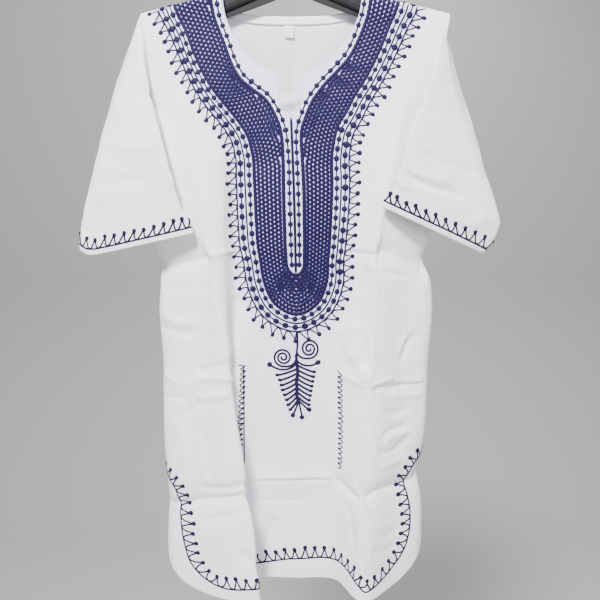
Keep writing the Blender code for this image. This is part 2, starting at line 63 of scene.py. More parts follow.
# --- the cloth and its flat cut, as the frame has them ---------------------
WALL = 0.0012
SEAM_HALF_GAP = 0.0004
LAYER_GAP = 0.0004
NECK_HEIGHT = -0.106
NECK_HALF_WIDTH = 0.100
NECK_DROP = 0.122
NOTCH_DEPTH = 0.190
NOTCH_TOP_SHARE = 0.976
NOTCH_FLOOR = 0.170
NOTCH_FLOOR_HALF_WIDTH = 0.0165
NOTCH_CORNER = 0.0024
BACK_NECK_DROP = 0.028
BACK_NECK_POWER = 3.0
SLIT_END = 0.415
SHOULDER_HALF_WIDTH = 0.222
SHOULDER_DROP = 0.028
UNDERARM_DEPTH = 0.265
CHEST_HALF_WIDTH = 0.245
SHIRT_LENGTH = 0.924
HEM_HALF_WIDTH = 0.268
CORNER_RISE = 0.106
CORNER_WIDTH = 0.082
VENT_TOP = 0.725
VENT_HALF_GAP = 0.004
ARMHOLE_HALF_WIDTH = 0.019
SHOULDER_ROUND = 0.009
SIDE_TURN = 0.009
SLOW_RUMPLE = (0.0009, 0.075)      # height and size of the cloth's unevenness
QUICK_RUMPLE = (0.00035, 0.022)
HEM_THICKNESS = 0.0005
FACING_WIDTH = 0.012
LABEL_WIDTH = 0.014
LABEL_HEIGHT = 0.017
LABEL_CENTRE = -0.001
HEM_BAND = 0.033           # from the hem's edge to the embroidered line
HANG_TILT = 0.05           # how much lower the left of the hem hangs
POINT_ACROSS = 0.135       # the front's right lobe hangs to a point here
POINT_REACH = (0.060, 0.085)
POINT_DROP = 0.014
POINT_START = 0.800

# Heights under the hook, with x of the left seam, x of the right seam, y of both.
SIDE_SEAMS = (
    (-0.140, (-0.222, 0.226, 0.000)),
    (-0.190, (-0.214, 0.212, 0.000)),
    (-0.260, (-0.210, 0.203, 0.001)),
    (-0.330, (-0.215, 0.211, 0.001)),
    (-0.390, (-0.221, 0.220, 0.002)),
    (-0.446, (-0.222, 0.213, 0.002)),
    (-0.475, (-0.218, 0.205, 0.003)),
    (-0.494, (-0.209, 0.199, 0.003)),
    (-0.530, (-0.207, 0.212, 0.003)),
    (-0.561, (-0.210, 0.216, 0.003)),
    (-0.660, (-0.208, 0.213, 0.004)),
    (-0.800, (-0.210, 0.209, 0.006)),
    (-0.862, (-0.207, 0.200, 0.007)),
    (-0.888, (-0.207, 0.206, 0.008)),
    (-0.960, (-0.210, 0.210, 0.008)),
    (-1.032, (-0.209, 0.206, 0.009)),
)

# Heights, with x and y across the front: pressed crease, left lobe, its folded
# edge, the turn under it, the deepest point behind, the root, the centre line,
# the flat beside it, the right ridge and the slope beyond.
FRONT_CENTRE = 6
FRONT_SECTIONS = (
    (-0.150, ((-0.170, -0.013), (-0.130, -0.014), (-0.115, -0.014), (-0.100, -0.014),
              (-0.085, -0.014), (-0.070, -0.014), (-0.006, -0.014), (0.060, -0.014),
              (0.110, -0.014), (0.170, -0.013))),
    (-0.250, ((-0.165, -0.027), (-0.132, -0.030), (-0.115, -0.029), (-0.100, -0.027),
              (-0.085, -0.026), (-0.070, -0.027), (-0.005, -0.030), (0.060, -0.029),
              (0.118, -0.029), (0.172, -0.024))),
    (-0.390, ((-0.150, -0.041), (-0.122, -0.047), (-0.106, -0.044), (-0.098, -0.037),
              (-0.090, -0.031), (-0.075, -0.032), (0.000, -0.040), (0.060, -0.038),
              (0.134, -0.043), (0.174, -0.029))),
    (-0.520, ((-0.132, -0.046), (-0.116, -0.050), (-0.105, -0.046), (-0.099, -0.039),
              (-0.091, -0.031), (-0.076, -0.031), (0.003, -0.038), (0.068, -0.034),
              (0.131, -0.047), (0.170, -0.031))),
    (-0.680, ((-0.126, -0.049), (-0.109, -0.056), (-0.097, -0.053), (-0.098, -0.044),
              (-0.096, -0.032), (-0.078, -0.029), (0.005, -0.033), (0.068, -0.031),
              (0.122, -0.051), (0.165, -0.033))),
    (-0.800, ((-0.130, -0.050), (-0.096, -0.062), (-0.079, -0.060), (-0.081, -0.050),
              (-0.092, -0.033), (-0.081, -0.024), (0.008, -0.026), (0.066, -0.027),
              (0.115, -0.056), (0.161, -0.036))),
    (-0.910, ((-0.134, -0.050), (-0.085, -0.067), (-0.064, -0.066), (-0.067, -0.055),
              (-0.092, -0.032), (-0.083, -0.020), (0.010, -0.018), (0.063, -0.021),
              (0.110, -0.062), (0.159, -0.038))),
    (-1.032, ((-0.136, -0.048), (-0.078, -0.070), (-0.054, -0.070), (-0.058, -0.058),
              (-0.092, -0.030), (-0.084, -0.016), (0.012, -0.012), (0.060, -0.016),
              (0.110, -0.067), (0.157, -0.040))),
)

# The same for the back, in three soft folds.
BACK_CENTRE = 2
BACK_SECTIONS = (
    (-0.150, ((-0.160, 0.013), (-0.080, 0.014), (-0.006, 0.015), (0.080, 0.014), (0.160, 0.013))),
    (-0.250, ((-0.160, 0.028), (-0.080, 0.031), (-0.004, 0.032), (0.080, 0.031), (0.162, 0.028))),
    (-0.390, ((-0.155, 0.040), (-0.078, 0.042), (0.000, 0.044), (0.078, 0.041), (0.156, 0.040))),
    (-0.520, ((-0.146, 0.043), (-0.070, 0.043), (0.002, 0.048), (0.072, 0.042), (0.148, 0.044))),
    (-0.680, ((-0.146, 0.050), (-0.068, 0.042), (0.003, 0.052), (0.071, 0.040), (0.147, 0.050))),
    (-0.800, ((-0.146, 0.056), (-0.066, 0.040), (0.004, 0.056), (0.070, 0.038), (0.146, 0.055))),
    (-0.910, ((-0.146, 0.060), (-0.065, 0.039), (0.004, 0.059), (0.069, 0.037), (0.146, 0.058))),
    (-1.032, ((-0.146, 0.063), (-0.064, 0.038), (0.004, 0.061), (0.068, 0.036), (0.146, 0.061))),
)

# Corners of each cuff, the lift of its outer fold, the pull at the armhole and
# how far the sleeve's front folds in over the body.
SLEEVES = {
    "left": dict(side=-1.0, outer=(-0.3205, -0.026, -0.492), inner=(-0.147, -0.060, -0.453),
                 lift=(-0.006, 0.004, 0.012), shoulder_pull=(-0.083, 0.0, -0.175), overlap=0.040,
                 cuff_fall=(0.0, 0.0, -0.20), bulge=0.0),
    "right": dict(side=1.0, outer=(0.286, -0.020, -0.486), inner=(0.129, -0.060, -0.415),
                  lift=(0.0, 0.0, 0.0), shoulder_pull=(-0.040, 0.0, -0.260), overlap=0.052,
                  cuff_fall=(-0.17, 0.0, -0.20), bulge=0.013),
}
CUFF_HALF_DEPTH = 0.011
INNER_CUFF_FALL = -0.12    # how steeply the inner fold reaches the cuff
BULGE_AT = 0.82            # where the outer fold stands out most, from armhole to cuff
BULGE_REACH = 0.20
SLEEVE_START_GAP = 0.0015
FORWARD_PULL = 0.150
OUTWARD_PULL = 0.210

CREASE_STRENGTH = 2.4
FOLD_RADIUS = 0.0006

# --- pressed creases: kind, height mm, width mm, points (across, depth) in mm ---
FRONT_CREASES = (
    # the long pressed folds that run down
    ("fold", 1.9, 13, ((-184, 136), (-166, 212), (-144, 292), (-136, 336), (-136, 382),
                       (-134, 432), (-126, 478), (-112, 556))),
    ("fold", 1.5, 9, ((184, 140), (180, 184), (168, 226), (146, 272), (134, 312), (136, 374))),
    ("fold", 1.3, 10, ((136, 374), (130, 448), (128, 494), (128, 540), (125, 582), (120, 636),
                       (120, 692), (122, 764), (120, 816), (124, 866), (132, 916))),
    ("fold", 0.5, 1.8, ((136, 374), (130, 448), (128, 494), (128, 540), (125, 582), (120, 636),
                        (120, 692), (122, 764), (120, 816), (124, 866), (132, 916))),
    # where the shirt was folded across
    ("fold", -2.9, 17, ((-238, 407), (-222, 402), (-180, 392), (-136, 382))),
    ("fold", 1.7, 8, ((-136, 382), (-118, 378), (-90, 374))),
    ("fold", -0.5, 1.8, ((-136, 384), (-118, 381), (-90, 377))),
    ("fold", 1.5, 7, ((88, 370), (112, 372), (136, 375))),
    ("fold", -1.5, 8, ((88, 375), (112, 377), (136, 380))),
    ("fold", -2.7, 20, ((134, 375), (160, 377), (184, 384), (212, 393), (236, 406))),
    ("fold", -3.3, 15, ((-262, 787), (-228, 777), (-194, 766), (-156, 757), (-100, 747))),
    ("fold", -0.6, 2.0, ((-262, 785), (-228, 775), (-194, 764), (-156, 755), (-100, 745))),
    ("fold", 1.5, 9, ((-64, 745), (-34, 743), (0, 741), (62, 742))),
    ("fold", -1.0, 2.2, ((-64, 750), (-34, 748), (0, 746), (62, 747))),
    ("fold", -1.9, 8, ((64, 744), (86, 756), (121, 768))),
    ("fold", -3.4, 15, ((120, 767), (146, 757), (180, 756), (220, 755), (252, 757))),
    # smaller ones between them
    ("fold", -0.7, 2.4, ((-222, 437), (-176, 430), (-138, 426))),
    ("fold", -0.8, 3, ((144, 405), (162, 408), (188, 413))),
    ("fold", -0.6, 2.4, ((156, 443), (196, 448), (226, 451))),
    ("fold", 1.4, 7, ((-178, 572), (-144, 567), (-114, 570))),
    ("fold", -1.1, 5, ((-178, 560), (-148, 552), (-120, 547))),
    ("fold", 0.9, 7, ((-176, 572), (-196, 581), (-238, 566))),
    ("fold", -0.9, 4, ((-240, 609), (-214, 604), (-192, 606))),
    ("soft", -1.1, 5, ((-206, 634), (-190, 620), (-172, 604))),
    ("soft", 0.9, 5, ((-178, 602), (-148, 596), (-120, 590))),
    ("soft", -1.2, 5, ((-196, 746), (-152, 738), (-104, 730))),
    ("soft", -1.0, 7, ((-200, 800), (-160, 786), (-120, 768))),
    ("fold", 1.6, 9, ((70, 564), (94, 573), (124, 583))),
    ("fold", 1.5, 6, ((124, 581), (142, 574), (170, 571))),
    ("fold", -1.3, 5, ((130, 584), (162, 584), (228, 586))),
    ("fold", 0.9, 4, ((168, 577), (202, 580), (230, 580))),
    ("fold", -0.8, 3, ((148, 594), (166, 588), (188, 585))),
    ("fold", 0.8, 4, ((168, 599), (204, 603), (228, 603))),
    ("soft", 2.0, 12, ((88, 476), (99, 516), (108, 548), (122, 580))),
    ("soft", -1.6, 8, ((104, 492), (112, 522), (119, 556))),
    ("soft", 1.3, 8, ((70, 488), (82, 520), (98, 546))),
    ("soft", -1.3, 10, ((-90, 440), (-94, 490), (-106, 526))),
    ("soft", -1.4, 12, ((122, 392), (112, 440), (110, 500))),
    ("soft", -1.3, 5, ((184, 544), (190, 520), (196, 512), (210, 503))),
    ("soft", 0.9, 5, ((176, 540), (182, 516), (190, 504))),
    ("soft", -1.2, 5, ((148, 674), (162, 658), (184, 656), (206, 651))),
    ("soft", 0.9, 5, ((158, 668), (180, 668), (204, 662))),
    ("soft", -1.2, 5, ((142, 688), (170, 695), (190, 687), (208, 670))),
    ("soft", -1.0, 5, ((150, 620), (170, 632), (204, 622))),
    ("soft", 0.9, 5, ((150, 712), (176, 716), (200, 706))),
    ("soft", -0.8, 8, ((-62, 528), (-62, 620), (-58, 728))),
    ("soft", 0.8, 8, ((60, 528), (58, 610), (62, 700))),
    ("soft", -1.3, 6, ((-32, 812), (-42, 848), (-52, 872))),
    ("soft", 0.9, 8, ((-14, 806), (-22, 850), (-28, 884))),
    ("fold", -0.6, 3, ((-58, 786), (-26, 782), (8, 784))),
    ("soft", -1.0, 8, ((-150, 840), (-128, 862), (-120, 884))),
    ("soft", -1.2, 6, ((86, 778), (98, 806), (106, 848))),
    ("soft", -0.9, 6, ((136, 826), (170, 836), (200, 830))),
    ("soft", -0.8, 6, ((138, 852), (170, 860), (196, 856))),
    ("soft", 0.9, 7, ((-226, 470), (-190, 486), (-160, 480))),
    ("soft", -0.8, 6, ((-238, 492), (-200, 500), (-170, 498))),
    ("soft", 0.8, 8, ((-214, 640), (-206, 680), (-212, 715))),
    ("soft", -0.8, 7, ((-176, 640), (-170, 690), (-178, 730))),
)

BACK_CREASES = (
    ("fold", -2.0, 16, ((-122, 60), (-124, 240), (-126, 460), (-124, 700), (-128, 915))),
    ("fold", 2.0, 14, ((6, 40), (2, 240), (4, 460), (0, 700), (2, 915))),
    ("fold", -2.0, 16, ((126, 60), (124, 240), (128, 460), (126, 700), (124, 915))),
    ("fold", -2.4, 14, ((-238, 392), (-120, 384), (0, 388), (124, 382), (236, 390))),
    ("fold", 2.2, 13, ((-250, 574), (-120, 580), (0, 576), (124, 582), (248, 576))),
    ("fold", -2.6, 15, ((-256, 770), (-124, 764), (0, 768), (126, 762), (254, 768))),
    ("soft", -1.2, 7, ((-60, 120), (-30, 150), (10, 146), (60, 118))),
    ("soft", 1.0, 8, ((-200, 470), (-170, 490), (-140, 478))),
    ("soft", -1.0, 7, ((150, 460), (180, 476), (214, 466))),
    ("soft", -1.1, 8, ((40, 640), (64, 668), (90, 672))),
    ("soft", 1.0, 7, ((-90, 660), (-60, 690), (-30, 694))),
    ("soft", -1.0, 7, ((-200, 850), (-160, 862), (-120, 850))),
    ("soft", 1.0, 8, ((60, 850), (100, 868), (150, 856))),
    ("soft", -1.0, 9, ((-190, 240), (-176, 300), (-182, 350))),
    ("soft", -1.0, 9, ((188, 230), (178, 290), (184, 346))),
)

# On a sleeve the points are the share round it (0 the outer fold, 0.25 the
# front's middle, 0.5 the inner fold) in thousandths, and mm above the cuff.
SLEEVE_CREASES = {
    "left": (
        ("fold", 1.8, 8, ((250, 205), (330, 212), (440, 222))),
        ("soft", -1.4, 6, ((250, 190), (340, 196), (450, 204))),
        ("soft", -2.2, 10, ((350, 215), (370, 250), (385, 300))),
        ("soft", -1.0, 8, ((60, 100), (160, 110), (240, 96))),
        ("soft", 1.0, 8, ((80, 170), (170, 160), (260, 150))),
        ("soft", -1.0, 8, ((120, 240), (200, 230), (280, 236))),
        ("soft", -1.2, 9, ((60, 24), (90, 50), (110, 84))),
        ("soft", 1.0, 7, ((300, 90), (360, 84), (430, 92))),
        ("soft", -1.3, 9, ((600, 60), (700, 90), (860, 80))),
        ("fold", -1.4, 9, ((560, 200), (700, 206), (900, 196))),
    ),
    "right": (
        ("soft", 1.2, 7, ((160, 96), (250, 90), (320, 98))),
        ("soft", -1.2, 7, ((140, 78), (230, 74), (300, 80))),
        ("soft", -1.0, 8, ((60, 130), (130, 124), (210, 136))),
        ("soft", 1.0, 8, ((90, 60), (120, 40), (160, 28))),
        ("soft", -2.0, 10, ((390, 190), (400, 240), (410, 300))),
        ("soft", -1.0, 8, ((120, 210), (220, 204), (300, 212))),
        ("soft", 1.0, 7, ((300, 56), (360, 50), (430, 60))),
        ("soft", -1.3, 9, ((600, 60), (700, 90), (860, 80))),
        ("fold", -1.4, 9, ((560, 200), (700, 206), (900, 196))),
    ),
}


# --- small helpers ----------------------------------------------------------
def ease(value):
    """0 to 1 with level ends, for numbers and arrays."""
    value = np.clip(value, 0.0, 1.0)
    return value * value * (3 - 2 * value)


def between(table, row, column):
    """A table's values at places between its rows and columns."""
    r = np.minimum(row.astype(int), table.shape[0] - 2)
    c = np.minimum(column.astype(int), table.shape[1] - 2)
    down = row - r
    right = column - c
    if table.ndim == 3:
        down = down[..., None]
        right = right[..., None]
    upper = table[r, c] * (1 - right) + table[r, c + 1] * right
    lower = table[r + 1, c] * (1 - right) + table[r + 1, c + 1] * right
    return upper * (1 - down) + lower * down


def unit(vectors):
    """Vectors brought to length one."""
    return vectors / np.maximum(np.linalg.norm(vectors, axis=-1, keepdims=True), 1e-12)


def smooth(knots, values, at):
    """Cubic curve through the values at rising knots, read at the places given."""
    steps = np.diff(knots)
    slopes = np.diff(values, axis=0) / steps[:, None]
    tangents = np.empty_like(values)
    tangents[0] = slopes[0]
    tangents[-1] = slopes[-1]
    weighted = slopes[:-1] * steps[1:, None] + slopes[1:] * steps[:-1, None]
    tangents[1:-1] = weighted / (steps[:-1] + steps[1:])[:, None]
    index = np.clip(np.searchsorted(knots, at, side="right") - 1, 0, len(knots) - 2)
    step = steps[index][:, None]
    t = (at - knots[index])[:, None] / step
    start = (1 + 2 * t) * (1 - t) ** 2 * values[index] + t * (1 - t) ** 2 * step * tangents[index]
    end = t * t * (3 - 2 * t) * values[index + 1] - t * t * (1 - t) * step * tangents[index + 1]
    return start + end


def run_of(line):
    """Distance along a line at each of its points."""
    return np.concatenate([[0.0], np.cumsum(np.linalg.norm(np.diff(line, axis=0), axis=1))])


def curve_through(points, spacing):
    """A smooth line through flat points, read every so many metres."""
    points = np.asarray(points, dtype=float)
    knots = run_of(points)
    fine = smooth(knots, points, np.linspace(0.0, knots[-1], max(16, len(points) * 24)))
    return even_steps(fine, spacing)


def even_steps(line, spacing):
    """The same line with points at even steps."""
    lengths = run_of(line)
    count = max(2, int(round(lengths[-1] / spacing)) + 1)
    places = np.linspace(0.0, lengths[-1], count)
    return np.stack([np.interp(places, lengths, column) for column in line.T], axis=1)


def line_length(line):
    return float(np.linalg.norm(np.diff(line, axis=0), axis=1).sum())


def outward(line):
    """Unit normals of a flat line, away from what it runs round, left shoulder to right."""
    along = unit(np.gradient(line, axis=0))
    return np.stack([-along[:, 1], along[:, 0]], axis=1)


def distance_to(route, across, depth):
    """Distance of flat points from a line, and the share along it of the nearest place."""
    best = np.full(across.shape, np.inf)
    share = np.zeros(across.shape)
    lengths = np.linalg.norm(np.diff(route, axis=0), axis=1)
    starts = np.concatenate([[0.0], np.cumsum(lengths)])
    for index, length in enumerate(lengths):
        a = route[index]
        run = (route[index + 1] - a) / max(length, 1e-9)
        along = np.clip((across - a[0]) * run[0] + (depth - a[1]) * run[1], 0.0, length)
        gap = np.hypot(across - a[0] - along * run[0], depth - a[1] - along * run[1])
        nearer = gap < best
        best = np.where(nearer, gap, best)
        share = np.where(nearer, (starts[index] + along) / starts[-1], share)
    return best, share


def crease_relief(creases, across, depth):
    """Height of the pressed creases over the cloth's own form."""
    total = np.zeros(across.shape)
    for kind, height, width, points in creases:
        route = curve_through(np.array(points) * MM, 0.012)
        reach = width * MM * (3.0 if kind == "soft" else 6.0)
        low = route.min(axis=0) - reach
        high = route.max(axis=0) + reach
        near = (across > low[0]) & (across < high[0]) & (depth > low[1]) & (depth < high[1])
        if not near.any():
            continue
        gap, share = distance_to(route, across[near], depth[near])
        if kind == "fold":
            fade = ease(np.minimum(share, 1 - share) / 0.07)
            rounded = np.sqrt(gap * gap + FOLD_RADIUS ** 2) - FOLD_RADIUS
            shape = np.exp(-rounded / (width * MM))
        else:
            fade = ease(np.minimum(share, 1 - share) / 0.14)
            shape = np.exp(-(gap / (width * MM)) ** 2)
        total[near] += CREASE_STRENGTH * height * MM * fade * shape
    return total


def crumple(across, depth, size, seed):
    """Uneven softness of washed cotton: a sum of slow and quicker noise, -1 to 1."""
    flat = np.stack([across.ravel(), depth.ravel()], axis=1) / size
    values = [noise.noise(Vector((u, v, seed))) + 0.5 * noise.noise(Vector((2.1 * u, 2.3 * v, -seed)))
              for u, v in flat]
    return np.array(values).reshape(across.shape)


# --- the cut ---------------------------------------------------------------
def armhole_half_width(depth):
    span = np.clip((depth - SHOULDER_DROP) / (UNDERARM_DEPTH - SHOULDER_DROP), 0.0, 1.0)
    return ARMHOLE_HALF_WIDTH * np.maximum(0.0, np.sin(math.pi * (0.15 + 0.85 * span))) ** 0.8


def pattern_half_width(depth):
    """Half width of the cut at a depth, from the centre line to the side."""
    upper = ease((depth - SHOULDER_DROP) / (UNDERARM_DEPTH - SHOULDER_DROP))
    upper = SHOULDER_HALF_WIDTH + upper * (CHEST_HALF_WIDTH - SHOULDER_HALF_WIDTH)
    share = (depth - UNDERARM_DEPTH) / (SHIRT_LENGTH - UNDERARM_DEPTH)
    lower = CHEST_HALF_WIDTH + share * (HEM_HALF_WIDTH - CHEST_HALF_WIDTH)
    return np.where(depth < UNDERARM_DEPTH, upper, lower)


def edge_half_width(depth):
    """Where the cut ends: the side, rounded in at the hem's corners."""
    below = np.clip((depth - (SHIRT_LENGTH - CORNER_RISE)) / CORNER_RISE, 0.0, 1.0)
    return pattern_half_width(depth) - CORNER_WIDTH * (1 - np.sqrt(1 - below * below))


def front_neck(depth):
    """Half width of the front neckline: a half ellipse, a square notch and then the slit."""
    notch_top = NOTCH_TOP_SHARE * NECK_DROP
    notch_half_width = NECK_HALF_WIDTH * math.sqrt(1 - NOTCH_TOP_SHARE ** 2)
    if depth < notch_top:
        return NECK_HALF_WIDTH * math.sqrt(1 - (depth / NECK_DROP) ** 2)
    if depth < NOTCH_FLOOR:
        share = (depth - notch_top) / (NOTCH_FLOOR - notch_top)
        return notch_half_width + (NOTCH_FLOOR_HALF_WIDTH - notch_half_width) * share
    share = min((depth - NOTCH_FLOOR) / NOTCH_CORNER, 1.0)
    return max(SEAM_HALF_GAP, NOTCH_FLOOR_HALF_WIDTH * math.sqrt(1 - share * share))


def back_neck(depth):
    share = min(depth / BACK_NECK_DROP, 1.0)
    return NECK_HALF_WIDTH * (1 - share ** BACK_NECK_POWER) ** (1 / BACK_NECK_POWER)


def hem_outline():
    """The hem's edge on the flat cut, from the left vent round to the right one."""
    depths = np.concatenate([np.linspace(0.60, SHIRT_LENGTH - CORNER_RISE, 12),
                             SHIRT_LENGTH - CORNER_RISE
                             + CORNER_RISE * np.sin(np.radians(np.linspace(4, 90, 24)))])
    side = np.stack([edge_half_width(depths), depths], axis=1)
    left = side * (-1, 1)
    bottom = np.stack([np.linspace(left[-1][0], side[-1][0], 30)[1:-1],
                       np.full(28, SHIRT_LENGTH)], axis=1)
    return np.vstack([left, bottom, side[::-1]])


HEM_OUTLINE = hem_outline()


# --- the drape ---------------------------------------------------------------
class Drape:
    """The front or the back as it hangs: points of the cut placed in space."""

    DEPTH_STEP = 0.002
    SHARES = 401

    def __init__(self, sections, centre, facing, creases, seed):
        self.facing = facing
        self.centre = centre
        self.heights = np.array([row[0] for row in sections])[::-1]
        self.folds = np.array([row[1] for row in sections])[::-1].reshape(len(sections), -1)
        self.seam_heights = np.array([row[0] for row in SIDE_SEAMS])[::-1]
        self.seams = np.array([row[1] for row in SIDE_SEAMS])[::-1]
        self.depths = np.arange(0.0, SHIRT_LENGTH + 0.006, self.DEPTH_STEP)
        self.shares = np.linspace(-1.0, 1.0, self.SHARES)
        rows = [self.section_row(depth) for depth in self.depths]
        self.base = np.array(rows)
        across = self.shares[None, :] * pattern_half_width(self.depths)[:, None]
        depth = np.repeat(self.depths[:, None], self.SHARES, axis=1)
        relief = crease_relief(creases, across, depth)
        relief += SLOW_RUMPLE[0] * crumple(across, depth, SLOW_RUMPLE[1], seed)
        relief += QUICK_RUMPLE[0] * crumple(across, depth, QUICK_RUMPLE[1], seed + 4.0)
        gap, _ = distance_to(HEM_OUTLINE, across, depth)
        relief += HEM_THICKNESS * ease((HEM_BAND - 0.002 - gap) / 0.004)
        edge = np.minimum(pattern_half_width(depth) - np.abs(across), 0.05)
        relief *= 0.25 + 0.75 * ease(edge / 0.02)
        relief *= ease((depth - 0.012) / 0.05)
        self.relief = relief

    def section_row(self, depth):
        """x, y and z across the cloth at one depth, at the table's shares."""
        height = NECK_HEIGHT - depth
        at = min(max(height, self.heights[0]), self.heights[-1])
        folds = smooth(self.heights, self.folds, np.array([at])).reshape(-1, 2)
        at = min(max(height, self.seam_heights[0]), self.seam_heights[-1])
        left, right, middle_y = smooth(self.seam_heights, self.seams, np.array([at]))[0]
        apart = SEAM_HALF_GAP + float(armhole_half_width(depth))
        apart += VENT_HALF_GAP * float(ease((depth - VENT_TOP) / (SHIRT_LENGTH - VENT_TOP)))
        turn = 0.5 * math.pi * float(ease((depth - 0.6 * UNDERARM_DEPTH) / (0.4 * UNDERARM_DEPTH)))
        seam_y = middle_y + self.facing * apart
        side_x = SIDE_TURN * math.cos(turn)
        side_y = seam_y + self.facing * SIDE_TURN * math.sin(turn)
        first = ((left, seam_y), (left + side_x, side_y))
        last = ((right - side_x, side_y), (right, seam_y))
        points = np.vstack([first, folds, last])
        knots = run_of(points)
        places = np.linspace(0.0, knots[-1], 320)
        curve = smooth(knots, points, places)
        lengths = run_of(curve)
        middle = np.interp(knots[self.centre + 2], places, lengths)
        along = np.where(self.shares < 0, middle * (1 + self.shares),
                         middle + (lengths[-1] - middle) * self.shares)
        x = np.interp(along, lengths, curve[:, 0])
        y = np.interp(along, lengths, curve[:, 1])
        return np.stack([x, y, np.full_like(x, height)], axis=1)

    def read(self, table, across, depth):
        """A table's values at flat points, between its rows and columns."""
        row = np.clip(depth / self.DEPTH_STEP, 0.0, len(self.depths) - 1.001)
        share = across / pattern_half_width(depth)
        column = np.clip((share + 1) * (self.SHARES - 1) / 2, 0.0, self.SHARES - 1.001)
        return between(table, row, column)

    def hung(self, across, depth):
        """The drape before its creases, turned down over the shoulder."""
        points = self.read(self.base, across, depth)
        points[..., 2] = NECK_HEIGHT - depth
        points[..., 2] += HANG_TILT * points[..., 0] * ease((depth - 0.55) / 0.30)
        if self.facing < 0:
            beside = across - POINT_ACROSS
            beside = np.where(beside < 0, -beside / POINT_REACH[0], beside / POINT_REACH[1])
            low = np.clip((depth - POINT_START) / (SHIRT_LENGTH - POINT_START), 0.0, 1.0)
            points[..., 2] -= POINT_DROP * np.maximum(0.0, 1 - beside) * low * low
        beyond_neck = np.maximum(0.0, np.abs(across) - NECK_HALF_WIDTH)
        slope = SHOULDER_DROP / (SHOULDER_HALF_WIDTH - NECK_HALF_WIDTH)
        under = np.clip((depth - beyond_neck * slope) / SHOULDER_ROUND, 0.0, 1.0)
        round_over = np.sqrt(1 - (1 - under) ** 2)
        seam = self.facing * SEAM_HALF_GAP
        points[..., 1] = seam + (points[..., 1] - seam) * round_over
        return points

    def creased(self, across, depth):
        """The drape with its creases."""
        step = 0.004
        right = self.hung(across + step, depth) - self.hung(across - step, depth)
        down = self.hung(across, depth + step) - self.hung(across, np.maximum(depth - step, 0.0))
        away = unit(np.cross(right, down)) * self.facing
        away = np.where(np.isfinite(away), away, 0.0)
        return self.hung(across, depth) + away * self.read(self.relief, across, depth)[..., None]

    def surface(self, across, depth, lift=0.0):
        """Points over the cloth, and the way out of it."""
        across = np.asarray(across, dtype=float)
        depth = np.asarray(depth, dtype=float)
        step = 0.0015
        here = self.creased(across, depth)
        right = self.creased(across + step, depth) - self.creased(across - step, depth)
        down = self.creased(across, depth + step) - self.creased(across, np.maximum(depth - step, 0.0))
        away = unit(np.cross(right, down)) * self.facing
        return here + away * lift, away


